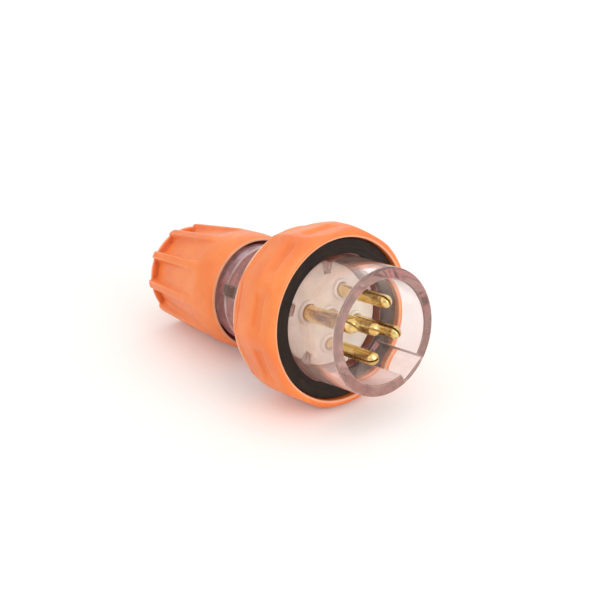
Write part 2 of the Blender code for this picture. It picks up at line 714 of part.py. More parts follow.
def nut_ridge(station):
    """Radius of the nut over its ridges."""
    front = rounding(station - NUT_FRONT, BAND_LENGTH, BAND_DROP)
    rear = rounding(NUT_REAR - station, NUT_EDGE, NUT_EDGE)
    return NUT_RIDGE - front - rear - NUT_TAPER * between(station, NUT_FRONT + NUT_STRAIGHT, NUT_REAR)


def nut_floor(station):
    """Radius at the bottom of the scallops between the ridges."""
    rear = rounding(NUT_REAR - station, NUT_EDGE, NUT_EDGE)
    return NUT_RIDGE - rear - SCALLOP_DROP * between(station, NUT_FRONT + SCALLOP_START, NUT_REAR)


def nut_radius(station, off):
    """Radius of the nut at an angle off a ridge."""
    ridge = nut_ridge(station)
    half = 180.0 / SIDES
    up = 1.0 - between(half - abs(off), 0.0, half - RIDGE_HALF) ** 3
    radius = ridge - max(0.0, ridge - nut_floor(station)) * up
    lip = between(station, NUT_REAR - NUT_LIP_WIDTH - LIP_SLOPE, NUT_REAR - NUT_LIP_WIDTH)
    return radius + max(0.0, ridge - NUT_LIP_DROP - radius) * lip


def nut_spots():
    """Angles of the nut's columns of points, each with its angle off its ridge."""
    half = 180.0 / SIDES
    side = (half - RIDGE_HALF) / 3
    offs = (side - half, 2 * side - half, -RIDGE_HALF, RIDGE_HALF, half - 2 * side, half - side, half)
    return [(half + ridge * 360.0 / SIDES + off, off) for ridge in range(SIDES) for off in offs]


def nut_stations():
    """Stations of the nut's rows of points: band, body and rear end."""
    band = [NUT_FRONT + BAND_LENGTH * part for part in (0.0, 0.05, 0.2, 0.6)]
    start = NUT_FRONT + SCALLOP_START
    straight = NUT_FRONT + NUT_STRAIGHT
    rear = NUT_REAR - NUT_LIP_WIDTH
    body = [start, (start + straight) / 2, straight, (2 * straight + rear) / 3, (straight + 2 * rear) / 3]
    lip = [rear - LIP_SLOPE, rear, NUT_REAR - NUT_EDGE, NUT_REAR - NUT_EDGE * 0.3, NUT_REAR]
    return band + body + lip


def gland_nut(parent, orange):
    """Nut that closes the cable gland: a round band in front, and ridges with scallops behind it."""
    spots = nut_spots()
    loops = [[polar(nut_radius(z, off), angle, z) for angle, off in spots] for z in nut_stations()]
    bore = [
        (NUT_REAR, NUT_CABLE_RADIUS + NUT_EDGE),
        (NUT_REAR - NUT_EDGE, NUT_CABLE_RADIUS),
        (NUT_SHOULDER, NUT_SHOULDER_BORE),
        (NUT_SHOULDER, NUT_THREAD),
        (NUT_FRONT + NUT_MOUTH_DEPTH + NUT_EDGE, NUT_THREAD),
        (NUT_FRONT + NUT_MOUTH_DEPTH, NUT_MOUTH),
        (NUT_FRONT, NUT_MOUTH),
    ]
    loops += [[polar(radius, angle, z) for angle, off in spots] for z, radius in bore]
    bm = bmesh.new()
    loft(bm, loops, closed=True)
    place("gland_nut", finish_mesh("gland_nut", bm), parent, orange)


# Laying the plug down

def depths(radius, spots, stations):
    """Each row's station, with how far below the axis its lowest point lies."""
    found = []
    for z in stations:
        found.append((z, max(-radius(z, off) * math.cos(math.radians(angle)) for angle, off in spots)))
    return found


def rest_tilt():
    """Slope of the axis when the plug lies on a flat of the ring and on the nut's front band."""
    ring = depths(ring_radius, ring_spots(), ring_stations())
    nut = depths(nut_radius, nut_spots(), nut_stations())
    slopes = []
    for near, deep in ring:
        slopes.append(min((deep - low) / (far - near) for far, low in nut))
    return math.atan(max(slopes))


def world_box(objects):
    """Lowest and highest corners of the pieces where they are now."""
    view = bpy.context.evaluated_depsgraph_get()
    points = []
    for item in objects:
        seen = item.evaluated_get(view)
        mesh = seen.to_mesh()
        points += [seen.matrix_world @ vertex.co for vertex in mesh.vertices]
        seen.to_mesh_clear()
    low = Vector([min(point[i] for point in points) for i in range(3)])
    high = Vector([max(point[i] for point in points) for i in range(3)])
    return low, high


def lay_down(axis):
    """Tips the axis over and sets the plug on the floor, over the world's origin."""
    tilt = rest_tilt()
    rear = Vector((-math.cos(tilt), 0.0, -math.sin(tilt)))
    top = Vector((-math.sin(tilt), 0.0, math.cos(tilt)))
    side = rear.cross(top)
    turn = Matrix((top, side, rear)).transposed()
    axis.rotation_euler = turn.to_euler()
    bpy.context.view_layer.update()
    low, high = world_box([item for item in axis.children if not item.hide_render])
    axis.location = (-(low.x + high.x) / 2, -(low.y + high.y) / 2, -low.z)
    bpy.context.view_layer.update()


def build():
    """Makes the plug."""
    for item in list(bpy.data.objects):
        bpy.data.objects.remove(item)
    axis = bpy.data.objects.new("plug_axis", None)
    bpy.context.collection.objects.link(axis)

    clear = material("clear_polycarbonate", "E9E2E2", 0.08, transmission=0.9)
    orange = material("orange_nylon", "FA8440", 0.38)
    black = material("black_rubber", "2E2A29", 0.7)
    cream = material("cream_moulding", "DDD0C2", 0.45)
    brass = material("turned_brass", "D9A640", 0.22, metallic=1.0)
    steel = material("zinc_plated_steel", "B9BBBD", 0.3, metallic=1.0)
    nylon = material("white_nylon", "E6E4DE", 0.5)

    front_shroud(axis, clear)
    sealing_gasket(axis, black)
    pin_carrier(axis, cream)
    for name, radius, angle, thickness, split in PINS:
        pin(axis, name, radius, angle, thickness, split, brass)
        terminal_screw(axis, name, radius, angle, steel)
    lock_ring(axis, orange)
    rear_body(axis, clear)
    body_seal(axis, black)
    for number, angle in enumerate(fixing_angles(), 1):
        fixing_screw(axis, number, angle, steel)
    cable_grommet(axis, black)
    slip_washer(axis, nylon)
    gland_nut(axis, orange)
    lay_down(axis)


build()
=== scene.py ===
# Looks of the industrial plug: clear skirt and rear body, orange lock ring and gland nut,
# split brass pins.
#
# Pieces are modelled on the plug's own axis, in millimetres. A station is the distance behind
# the skirt's front rim, an angle is counted in degrees from the top of the plug, and LAID puts
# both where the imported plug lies.

import json
import math

import bmesh
import bpy
from mathutils import Matrix, Vector


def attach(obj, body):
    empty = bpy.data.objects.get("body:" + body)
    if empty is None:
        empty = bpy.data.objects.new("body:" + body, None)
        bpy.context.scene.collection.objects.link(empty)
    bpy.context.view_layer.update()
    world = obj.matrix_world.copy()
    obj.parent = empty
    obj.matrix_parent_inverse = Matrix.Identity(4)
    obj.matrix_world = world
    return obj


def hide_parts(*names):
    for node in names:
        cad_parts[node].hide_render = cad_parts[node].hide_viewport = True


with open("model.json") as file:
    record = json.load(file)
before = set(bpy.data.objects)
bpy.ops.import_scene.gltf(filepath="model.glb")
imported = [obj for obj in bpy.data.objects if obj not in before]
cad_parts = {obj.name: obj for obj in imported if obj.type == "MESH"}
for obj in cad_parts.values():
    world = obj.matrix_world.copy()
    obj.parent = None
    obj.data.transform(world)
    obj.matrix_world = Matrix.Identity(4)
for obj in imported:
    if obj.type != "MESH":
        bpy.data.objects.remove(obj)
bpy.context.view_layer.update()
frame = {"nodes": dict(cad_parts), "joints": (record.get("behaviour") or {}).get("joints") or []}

MM = 0.001

# Place of the plug's axis, from the lock ring's joint
RING_PIVOT = 37.0           # station of the joint's point
ring_joint = next(joint for joint in frame["joints"] if joint["name"] == "lock_ring_turn")
REARWARD = Vector(ring_joint["axis"])
SIDEWAYS = REARWARD.cross(Vector((0.0, 0.0, 1.0))).normalized()
UPWARD = SIDEWAYS.cross(REARWARD)
LAID = Matrix((UPWARD, SIDEWAYS, REARWARD)).transposed().to_4x4()
LAID.translation = Vector(ring_joint["pos_m"]) - REARWARD * RING_PIVOT * MM

# Sizes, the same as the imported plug's. Where a note gives a packed size, the photo shows another.
GAP = 0.3                   # between pieces that seat on each other
FINE_EDGE = 0.3             # roundings of edges
EDGE = 0.4
SOFT_EDGE = 0.5
BLUNT_EDGE = 0.6

# Front shroud
SKIRT_RADIUS = 24.8         # packed: 25.0
SKIRT_ROOT = 25.5
SKIRT_BORE = 21.0
SKIRT_MOUTH = 20.3          # the bore narrows to this at the rim, packed: 21.0 throughout
SKIRT_LENGTH = 28.5
BORE_DRAFT = (1.5, 27.0)    # stations between which the bore widens from its mouth
RIM_ROUND = 0.9             # packed: 0.5
RIM_FLARE = 0.6             # the inner rounding is this share as wide
RIM_MATT = 0.15             # the rim is matt up to this station
RIM_CLEAR = 0.6             # and clear from this one
DRUM_RADIUS = 31.2
DRUM_REAR = 46.0
SPIGOT_RADIUS = 29.6
SPIGOT_END = 51.6
SHROUD_BORE = 23.5
KEYWAY_FLOOR = 22.9         # packed: 23.2
KEYWAY_HALF = 5.5
KEYWAY_END = 24.0
KEYWAY_ANGLE = 145.0
RIB_END = 0.2               # length over which the ribs run out in front
RIB_SLOPE = 0.4             # angle that a rib's side takes

# Pin carrier
CARRIER_FRONT = 29.5
CARRIER_SHOULDER = 34.6
CARRIER_REAR = 46.0
CARRIER_NOSE_RADIUS = 20.7
CARRIER_RADIUS = 23.2
BOSS_HEIGHT = 1.2
BOSS_WALL = 1.5
BOSS_ROOT = 0.5             # the bosses sink this deep into the carrier
NOTCH_HALF = 2.5
NOTCH_DEPTH = 4.4
EARTH_NOTCH_DEPTH = 2.4
NOTCH_SPREAD = 68.0

# Sealing gasket
GASKET_FRONT = 25.3
GASKET_REAR = 28.2
GASKET_RADIUS = 31.8
SEAL_BEADS = (2.2, 4.0)     # beads on its face, from its inner edge
SEAL_BEAD_HEIGHT = 0.12
SEAL_BEAD_WIDTH = 0.22

# Pins
PIN_CIRCLE = 11.4
PIN_TIP = 3.8
PIN_RADIUS = 2.6
EARTH_RADIUS = 3.0
EARTH_ANGLE = -67.0
LINE_SPREAD = 104.0
SPLIT_WIDTH = 0.8
SPLIT_DEPTH = 23.0
SPLIT_EDGE = 0.12
TERMINAL_FRONT = 44.0
TERMINAL_REAR = 57.0
TERMINAL_RADIUS = 4.3
WIRE_RADIUS = 2.4
WIRE_DEPTH = 10.0
WIRE_LEAD = 0.2
DRILL_POINT = 1.0

# Lock ring
SIDES = 10                  # flats of the ring and ridges of the nut
HALF_SIDE = 180.0 / SIDES
RING_FRONT = 23.6
RING_REAR = 51.3
RING_BORE = 32.3
RING_HOLE = 30.1
RING_FLAT = 35.0
RING_RIDGE = 37.4
RING_BEAD = 32.9
RING_BEAD_ROUND = 0.55
LIP_ROUND = 12.0            # the ridges run out over this length to the front
LIP_DROP = 3.9
CORNER_RUN = 10.5           # length over which the ridges fall at the rear
CORNER_DROP = 5.0
FLAT_DROP = 2.9             # fall of the flats behind the pockets
RIDGE_BLEND = 0.6           # half the height over which a ridge passes into its flats
RIDGE_SOFT = 1.2            # angle by which a ridge is rounded, packed: sharp
POCKET_FRONT = 30.0
POCKET_REAR = 36.5
POCKET_DEPTH = 1.1
POCKET_HALF = 14.5
POCKET_SIDE = 7.0           # angle over which a pocket's sides slope
POCKET_FRONT_SLOPE = 0.8
POCKET_REAR_SLOPE = 1.8
RING_GROOVE = 47.4          # not packed
RING_GROOVE_DEPTH = 0.3
RING_GROOVE_WIDTH = 0.4

# Rear body
BODY_FRONT = 51.9
BODY_REAR = 101.6
NOSE_GAP = 0.35
NOSE_BORE = 19.4
LIP_RADIUS = 30.8
LIP_LENGTH = 1.0
FLANGE_REAR = 55.0
FLANGE_RADIUS = 29.0
SEAL_STATION = 48.95
SEAL_CORD_RADIUS = 0.65
SEAL_GROOVE_HALF = 0.95
SEAL_GROOVE_DEPTH = 1.55
CONE_RADIUS = 23.6
CONE_BORE_SHARE = 0.3       # how far along the cone its bore starts to narrow
NECK_START = 68.0
NECK_RADIUS = 20.7
NECK_BORE = 16.4
BEAD_STATION = 73.1
BEAD_HEIGHT = 0.7           # packed: 0.5
BEAD_HALF = 0.7
LUG_FRONT = 66.5
LUG_REAR = 74.5
LUG_ANGLE = -68.5
LUG_WIDTH = 5.2
LUG_HEIGHT = 0.9
LUG_SINK = 0.3
LUG_EDGE = 0.25
THREAD_START = 81.0
THREAD_RADIUS = 18.6
THREAD_PITCH = 3.0
THREAD_DEPTH = 1.3
THREAD_RUNOUT = 1.5
THREAD_FLANK = (0.15, 0.8)  # ends of a flank, as shares of half a pitch
MOUTH_RADIUS = 15.8
SEAT_REAR = 93.0
SEAT_FRONT = 91.0
SEAT_BORE = 12.0

# Grommet and washer
GROMMET_BORE = 8.0
GROMMET_REAR = 106.0
GROMMET_TAPER = 1.2
GROMMET_LIP = 0.35
GROMMET_LIP_SPACING = 3.5
WASHER_FRONT = 106.3
WASHER_REAR = 107.8
WASHER_BORE = 9.0

# Gland nut
NUT_FRONT = 78.2
NUT_REAR = 131.9
NUT_RIDGE = 24.8
NUT_TAPER = 2.9
NUT_STRAIGHT = 98.2
NUT_SHOULDER = 108.1
NUT_SHOULDER_BORE = 15.4
NUT_CABLE_RADIUS = 13.0
NUT_CABLE_EDGE = 1.0
NUT_THREAD = 18.95
NUT_MOUTH = 22.4            # packed: 21.8
NUT_MOUTH_DEPTH = 7.0
NUT_MOUTH_EDGE = 0.2
BAND_LENGTH = 8.0
BAND_DROP = 1.8
SCALLOP_START = 90.7
SCALLOP_DROP = 6.9
SCALLOP_POWER = 6           # how steep the sides of the scallops are
RIDGE_HALF = 4.2            # packed: 3.5
RIDGE_CREST = 0.2           # fall of a ridge from its middle to its sides
FOOT_DEPTH = 0.25           # hollow at the foot of a ridge
FOOT_OFF = 1.8
FOOT_WIDTH = 1.1
NUT_EDGE = 2.4              # packed: 1.3
NUT_EDGE_DROP = 1.5         # packed: 1.3
NUT_LIP_FRONT = 130.1
NUT_LIP_DROP = 1.2          # packed: 2.4
NUT_LIP_SLOPE = 0.8         # packed: 0.4
NUT_BORE_SHADE_END = 89.2       # station behind which the nut gets no painted shade in its bore

# The pins: name, distance from the axis, angle, radius, direction of the split
PINS = [
    ("earth", PIN_CIRCLE, EARTH_ANGLE, EARTH_RADIUS, -44.0),
    ("line_1", PIN_CIRCLE, EARTH_ANGLE + LINE_SPREAD, PIN_RADIUS, -24.0),
    ("line_2", PIN_CIRCLE, EARTH_ANGLE + 180.0, PIN_RADIUS, -27.0),
    ("line_3", PIN_CIRCLE, EARTH_ANGLE - LINE_SPREAD, PIN_RADIUS, -99.0),
    ("neutral", 0.0, 0.0, PIN_RADIUS, -61.0),
]

# The notches in the carrier's nose: angle and depth
NOTCHES = [(EARTH_ANGLE + step * NOTCH_SPREAD, NOTCH_DEPTH if step else EARTH_NOTCH_DEPTH)
           for step in (-2, -1, 0, 1, 2)]


# Shapes

def polar(radius, angle, station=0.0):
    """A point in metres, from its radius and station in millimetres and its angle."""
    turn = math.radians(angle)
    return Vector((radius * math.cos(turn), radius * math.sin(turn), station)) * MM


def between(x, x0, x1):
    """How far x has gone from x0 to x1, held between 0 and 1."""
    return min(1.0, max(0.0, (x - x0) / (x1 - x0)))


def eased(x, x0, x1):
    """The same, with a soft start and end."""
    t = between(x, x0, x1)
    return t * t * (3.0 - 2.0 * t)


def steps(start, end, count):
    """Evenly spaced values from start to end, both included."""
    return [start + (end - start) * i / count for i in range(count + 1)]


def all_round(count):
    """Evenly spaced angles round the axis."""
    return [360.0 * i / count for i in range(count)]


def arc(station, radius, size, start, end, count=4):
    """Points (station, radius) of an arc about a centre, from one angle to another."""
    turns = [math.radians(angle) for angle in steps(start, end, count)]
    return [(station + size * math.cos(t), radius + size * math.sin(t)) for t in turns]


# Where the centre of a rounded edge lies from its sharp corner, and its arc's angles
EDGES = {
    "outer front": (1, -1, 180, 90),
    "outer rear": (-1, -1, 90, 0),
    "inner rear": (-1, 1, 0, -90),
    "inner front": (1, 1, 270, 180),
}


def edge(which, station, radius, size):
    """Points (station, radius) of a rounded edge, given by its sharp corner."""
    along, outward, start, end = EDGES[which]
    return arc(station + along * size, radius + outward * size, size, start, end)


def rounding(behind, length, drop):
    """Fall of a rounded end this far behind it: an ellipse of this length and drop."""
    return drop * (1.0 - math.sqrt(1.0 - (1.0 - between(behind, 0.0, length)) ** 2))


def hump(x, middle, width):
    """1 at the middle, falling softly to 0 on both sides."""
    return math.exp(-((x - middle) / width) ** 2)


def off_angle(angle, centre):
    """Signed angle from centre to angle, between -180 and 180."""
    return (angle - centre + 180.0) % 360.0 - 180.0


def half_angle(half_width, radius):
    """Angle from the middle to the side of something, seen from the axis."""
    return math.degrees(math.asin(half_width / radius))


def circles(profile, angles):
    """Loops of points round the axis, one for each (station, radius) of a profile."""
    return [[polar(radius, angle, station) for angle in angles] for station, radius in profile]


def skin(bm, loops, closed):
    """Skins loops of points. Closed joins the last to the first, else the ends are capped."""
    rings = [[bm.verts.new(point) for point in loop] for loop in loops]
    pairs = list(zip(rings, rings[1:]))
    if closed:
        pairs.append((rings[-1], rings[0]))
    else:
        bm.faces.new(rings[0])
        bm.faces.new(list(reversed(rings[-1])))
    for one, two in pairs:
        for i in range(len(one)):
            j = (i + 1) % len(one)
            bm.faces.new((one[i], two[i], two[j], one[j]))


def turned(bm, profile, count, closed=True, place=Matrix.Identity(4)):
    """Turns a profile of (station, radius) points about the axis."""
    loops = [[place @ point for point in loop] for loop in circles(profile, all_round(count))]
    skin(bm, loops, closed)


def at(radius, angle, station=0.0):
    """Frame of a spot on the plug: X points away from the axis and Z to the cable."""
    turn = Matrix.Rotation(math.radians(angle), 4, "Z")
    return Matrix.Translation(polar(radius, angle, station)) @ turn


def block(bm, size, place):
    """A box of this size in millimetres, placed by its centre."""
    scale = Matrix.Diagonal((*[side * MM for side in size], 1.0))
    bmesh.ops.create_cube(bm, size=1.0, matrix=place @ scale)


def put_in_scene(name, data):
    """An object of this data, in the scene."""
    made = bpy.data.objects.new(name, data)
    bpy.context.scene.collection.objects.link(made)
    return made


def laid_mesh(name, bm):
    """A mesh of this shape, laid down with the plug."""
    bmesh.ops.recalc_face_normals(bm, faces=bm.faces)
    bmesh.ops.transform(bm, matrix=LAID, verts=bm.verts)
    mesh = bpy.data.meshes.new(name)
    bm.to_mesh(mesh)
    bm.free()
    return mesh


def piece(name, bm, finish, body, slot, nodes=(), sharp=30.0):
    """Puts a shape in the scene: finished, riding on its body and replacing its nodes."""
    mesh = laid_mesh(name, bm)
    mesh.shade_smooth()
    mesh.set_sharp_from_angle(angle=math.radians(sharp))
    mesh.materials.append(finish)
    made = put_in_scene(name, mesh)
    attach(made, body)
    if nodes:
        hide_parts(*nodes)
    return made


def skinned_piece(name, loops, *about, sharp=30.0):
    """A piece skinned from closed loops of points."""
    bm = bmesh.new()
    skin(bm, loops, closed=True)
    return piece(name, bm, *about, sharp=sharp)


def turned_piece(name, profile, count, *about):
    """A piece turned from a closed profile."""
    return skinned_piece(name, circles(profile, all_round(count)), *about)


def even_shading(made):
    """Lets large faces set the shading, so that a small round edge doesn't bend a wall."""
    normals = made.modifiers.new("even_shading", "WEIGHTED_NORMAL")
    normals.keep_sharp = True
    normals.weight = 100


def cut(target, bm):
    """Cuts a shape out of a piece, for good."""
    tool = put_in_scene("cutter", laid_mesh("cutter", bm))
    change = target.modifiers.new("cut", "BOOLEAN")
    change.operation = "DIFFERENCE"
    change.solver = "EXACT"
    change.object = tool
    bpy.context.view_layer.update()
    evaluated = target.evaluated_get(bpy.context.evaluated_depsgraph_get())
    made = bpy.data.meshes.new_from_object(evaluated)
    target.modifiers.clear()
    old = target.data
    target.data = made
    made.name = target.name
    bpy.data.meshes.remove(old)
    bpy.data.objects.remove(tool)


def soften(target, width):
    """Rounds a piece's sharp edges."""
    bevel = target.modifiers.new("soft_edges", "BEVEL")
    bevel.width = width * MM
    bevel.segments = 2
    bevel.limit_method = "ANGLE"
    bevel.angle_limit = math.radians(40.0)
    bevel.harden_normals = True


# Finishes

def linear(hex_colour):
    """An sRGB hex colour as linear red, green, blue and alpha."""
    channels = [int(hex_colour[i:i + 2], 16) / 255 for i in (1, 3, 5)]
    low = [c / 12.92 if c <= 0.04045 else ((c + 0.055) / 1.055) ** 2.4 for c in channels]
    return (*low, 1.0)


def add(tree, kind, inputs=(), **settings):
    """Adds a node. Inputs pair a socket with a value, or with the (node, output) that feeds it."""
    made = tree.nodes.new(kind)
    for name, value in settings.items():
        setattr(made, name, value)
    for socket, value in dict(inputs).items():
        if isinstance(value, tuple) and isinstance(value[0], bpy.types.Node):
            feed(tree, value, made, socket)
        else:
            made.inputs[socket].default_value = value
    return made


def feed(tree, source, node, socket):
    """Links a (node, output) to a socket of another node."""
    tree.links.new(source[0].outputs[source[1]], node.inputs[socket])


def new_finish(name):
    """A material with its tree, Principled shader, and coordinates on the plug's own axis."""
    finish = bpy.data.materials.new(name)
    finish.use_nodes = True
    tree = finish.node_tree
    coords = add(tree, "ShaderNodeTexCoord")
    place = add(tree, "ShaderNodeMapping", {
        "Vector": (coords, "Object"), "Location": LAID.translation,
        "Rotation": LAID.to_euler()}, vector_type="TEXTURE")
    return finish, tree, tree.nodes["Principled BSDF"], (place, "Vector")


def per(size):
    """Scale of a pattern whose features are this many millimetres across."""
    return 1.0 / (size * MM)


def noise(tree, place, size, detail=2.0):
    """Noise with features this many millimetres across."""
    made = add(tree, "ShaderNodeTexNoise", {
        "Vector": place, "Scale": per(size), "Detail": detail})
    return (made, "Fac")


def shade_between(tree, factor, low, high):
    """Colours the middle of a factor's range from one hex colour to another."""
    ramp = add(tree, "ShaderNodeValToRGB", {"Fac": factor})
    for element, colour, stop in zip(ramp.color_ramp.elements, (low, high), (0.35, 0.65)):
        element.color = linear(colour)
        element.position = stop
    return (ramp, "Color")


def level_between(tree, factor, low, high, start=0.35, end=0.65):
    """Maps the part of a factor from start to end on the levels from low to high."""
    mapped = add(tree, "ShaderNodeMapRange", {
        "Value": factor, "From Min": start, "From Max": end, "To Min": low, "To Max": high})
    return (mapped, "Result")


def arithmetic(tree, operation, *values):
    """Result of an operation on levels."""
    return (add(tree, "ShaderNodeMath", dict(enumerate(values)), operation=operation), 0)


def times(tree, first, second):
    """Product of two levels."""
    return arithmetic(tree, "MULTIPLY", first, second)


def tinted(tree, factor, colour, hex_colour):
    """A colour mixed towards a hex colour by a factor."""
    mixed = add(tree, "ShaderNodeMix", {0: factor, 6: colour, 7: linear(hex_colour)},
                data_type="RGBA")
    return (mixed, 2)


def coated(tree, factor, surface, kind, hex_colour):
    """A surface mixed towards a shader of this kind and colour by a factor."""
    coat = add(tree, kind, {"Color": linear(hex_colour)})
    return (add(tree, "ShaderNodeMixShader", {0: factor, 1: surface, 2: (coat, 0)}), 0)


def bump(tree, height, strength, depth, under=None):
    """Bump from a height, this many millimetres deep, on top of another bump."""
    inputs = {"Height": height, "Strength": strength, "Distance": depth * MM}
    if under:
        inputs["Normal"] = under
    return (add(tree, "ShaderNodeBump", inputs), "Normal")


def edge_share(tree, reach, outer):
    """0 on a plain face, rising to 1 at outer edges or in inner corners, over this reach."""
    occlusion = add(tree, "ShaderNodeAmbientOcclusion", {"Distance": reach * MM},
                    inside=outer, only_local=True)
    return level_between(tree, (occlusion, "AO"), 1.0, 0.0, 0.45, 0.95)


def station_of(tree, place):
    """Station of the shaded point, in metres."""
    return (add(tree, "ShaderNodeSeparateXYZ", {"Vector": place}), "Z")


def across_axis(tree, place):
    """The shaded point without its station, as seen along the plug's axis."""
    flat = add(tree, "ShaderNodeVectorMath", {0: place, 1: (1.0, 1.0, 0.0)}, operation="MULTIPLY")
    return (flat, 0)


def within(tree, place, radius, soft):
    """1 inside a radius and 0 outside it, with a soft change."""
    reach = add(tree, "ShaderNodeVectorMath", {0: across_axis(tree, place)}, operation="LENGTH")
    return level_between(tree, (reach, "Value"), 1.0, 0.0, radius * MM, (radius + soft) * MM)


def share_round(tree, place, angle, near, far, start=-1.0, end=1.0):
    """A level that is near on the side at an angle, and far on the other.

    Start and end are the cosines, of the angle off that side, between which it changes.
    """
    unit = add(tree, "ShaderNodeVectorMath", {0: across_axis(tree, place)}, operation="NORMALIZE")
    side = add(tree, "ShaderNodeVectorMath", {0: (unit, 0), 1: polar(1.0 / MM, angle)},
               operation="DOT_PRODUCT")
    return level_between(tree, (side, "Value"), far, near, start, end)


def near_station(tree, place, middle, half, most):
    """A level that falls from most, at a station, to 0 at half a band's width from it."""
    ahead = arithmetic(tree, "SUBTRACT", station_of(tree, place), middle * MM)
    aside = arithmetic(tree, "ABSOLUTE", ahead)
    return level_between(tree, aside, most, 0.0, 0.25 * half * MM, half * MM)


def moulded_orange_nylon(name, shaded_bore=None):
    """Glass-filled nylon: warm orange, with painted shade deep in inner corners and painted
    highlights along edges.

    Given a bore's radius, it has painted shade, dark orange, inside that radius near the front of
    the nut, where the bore lies in shadow.
    """
    finish, tree, shader, place = new_finish(name)
    colour = shade_between(tree, noise(tree, place, 14.0, detail=3.0), "#F1782C", "#F88739")
    # painted shade deep in inner corners, then a painted highlight along outer edges
    colour = tinted(tree, edge_share(tree, 2.2, outer=False), colour, "#C94D1C")
    colour = tinted(tree, edge_share(tree, 0.9, outer=True), colour, "#FFDABE")
    # painted highlight lines along the ring's rear edge, the nut's front edge and the inner edge of
    # the ring's lip
    lip = near_station(tree, place, RING_FRONT, half=1.2, most=0.4)
    painted_highlight = [
        near_station(tree, place, RING_REAR, half=1.5, most=0.7),
        near_station(tree, place, NUT_FRONT, half=0.6, most=0.35),
        times(tree, lip, within(tree, place, RING_BORE + 0.6, soft=0.5)),
    ]
    for share in painted_highlight:
        colour = tinted(tree, share, colour, "#FFCFA8")
    if shaded_bore:
        # painted shade inside the nut's mouth, where the bore lies in shadow
        front = level_between(tree, station_of(tree, place), 1.0, 0.0,
                              (NUT_BORE_SHADE_END - 1.0) * MM, NUT_BORE_SHADE_END * MM)
        bore_shade = times(tree, within(tree, place, shaded_bore, soft=0.1), front)
        colour = tinted(tree, bore_shade, colour, "#6E260C")
    feed(tree, colour, shader, "Base Color")
    rough = level_between(tree, noise(tree, place, 3.0, detail=3.0), 0.36, 0.46)
    feed(tree, rough, shader, "Roughness")
    flow = bump(tree, noise(tree, place, 9.0), strength=0.25, depth=0.25)
    grain = bump(tree, noise(tree, place, 0.35), strength=0.2, depth=0.03, under=flow)
    feed(tree, grain, shader, "Normal")
    shader.inputs["Coat Weight"].default_value = 0.25
    shader.inputs["Coat Roughness"].default_value = 0.25
    shader.inputs["IOR"].default_value = 1.53
    shader.inputs["Subsurface Weight"].default_value = 0.12
    shader.inputs["Subsurface Radius"].default_value = (1.0, 0.35, 0.15)
    shader.inputs["Subsurface Scale"].default_value = 1.2 * MM
    return finish


def clear_polycarbonate(name, milk, side, hazes, rim_hazes=None, painted_highlight=None):
    """Clear polycarbonate with the faint pink of its toner, milky haze and painted highlights along
    its edges.

    The hazes are what share_round takes after an angle: round the side for the walls, and round the
    bottom for the matt rim. Where a station is given for the painted highlight, the bead there gets
    a painted highlight in white streaks, with a painted lilac reflection behind it on top.
    """
    finish, tree, shader, place = new_finish(name)
    shader.inputs["Base Color"].default_value = linear("#FFFFFF")
    shader.inputs["Transmission Weight"].default_value = 1.0
    shader.inputs["IOR"].default_value = 1.585
    shader.inputs["Roughness"].default_value = 0.03
    flow = bump(tree, noise(tree, place, 11.0), strength=0.2, depth=0.2)
    feed(tree, flow, shader, "Normal")
    walls = share_round(tree, place, side, *hazes)
    rim = share_round(tree, place, 180.0, *rim_hazes) if rim_hazes else walls
    haze = level_between(tree, station_of(tree, place), rim, walls,
                         RIM_MATT * MM, RIM_CLEAR * MM)
    streaks = level_between(tree, noise(tree, place, 6.0, detail=4.0), 0.6, 1.4)
    wall = coated(tree, times(tree, haze, streaks), (shader, "BSDF"),
                  "ShaderNodeBsdfTranslucent", milk)
    # painted highlight on the bead in white streaks, and a painted lilac reflection on top behind
    # it
    if painted_highlight:
        patches = level_between(tree, noise(tree, place, 7.0), 0.3, 1.2, start=0.4, end=0.6)
        bead_highlight = near_station(tree, place, painted_highlight, half=0.7, most=0.55)
        wall = coated(tree, times(tree, bead_highlight, patches), wall, "ShaderNodeBsdfDiffuse", "#F2E2DE")
        top = share_round(tree, place, 0.0, near=1.0, far=0.0, start=0.45, end=0.95)
        top_reflection = near_station(tree, place, painted_highlight + 3.2, half=2.6, most=0.4)
        top_reflection = times(tree, top_reflection, times(tree, top, patches))
        wall = coated(tree, top_reflection, wall, "ShaderNodeBsdfDiffuse", "#E6DCEA")
    # painted highlight: pale lines along outer edges, broken up by the streaks
    edge_highlight = times(tree, edge_share(tree, 0.5, outer=True), streaks)
    edge_highlight = level_between(tree, edge_highlight, 0.0, 0.45, start=0.0, end=1.0)
    wall = coated(tree, edge_highlight, wall, "ShaderNodeBsdfDiffuse", "#F4E6E4")
    # light from the lamps goes straight through, as most of it does through clear plastic
    rays = add(tree, "ShaderNodeLightPath")
    wall = coated(tree, (rays, "Is Shadow Ray"), wall, "ShaderNodeBsdfTransparent", "#FAF2F1")
    output = tree.nodes["Material Output"]
    feed(tree, wall, output, "Surface")
    toner = add(tree, "ShaderNodeVolumeAbsorption", {"Color": linear("#E1A9AD"), "Density": 22.0})
    feed(tree, (toner, "Volume"), output, "Volume")
    return finish


def mottled(name, size, detail, colours, smooth, rough):
    """A finish whose colour and roughness vary with one pattern of this size."""
    finish, tree, shader, place = new_finish(name)
    pattern = noise(tree, place, size, detail)
    feed(tree, shade_between(tree, pattern, *colours), shader, "Base Color")
    feed(tree, level_between(tree, pattern, smooth, rough), shader, "Roughness")
    return finish, tree, shader, place, pattern


def epdm_rubber():
    """Moulded EPDM: near black, matt, with a dusty bloom."""
    finish, tree, shader, place, _ = mottled(
        "epdm_rubber", size=5.0, detail=4.0, colours=("#211915", "#312721"),
        smooth=0.62, rough=0.78)
    grain = bump(tree, noise(tree, place, 0.4, detail=3.0), strength=0.35, depth=0.05)
    feed(tree, grain, shader, "Normal")
    shader.inputs["Specular IOR Level"].default_value = 0.25
    return finish


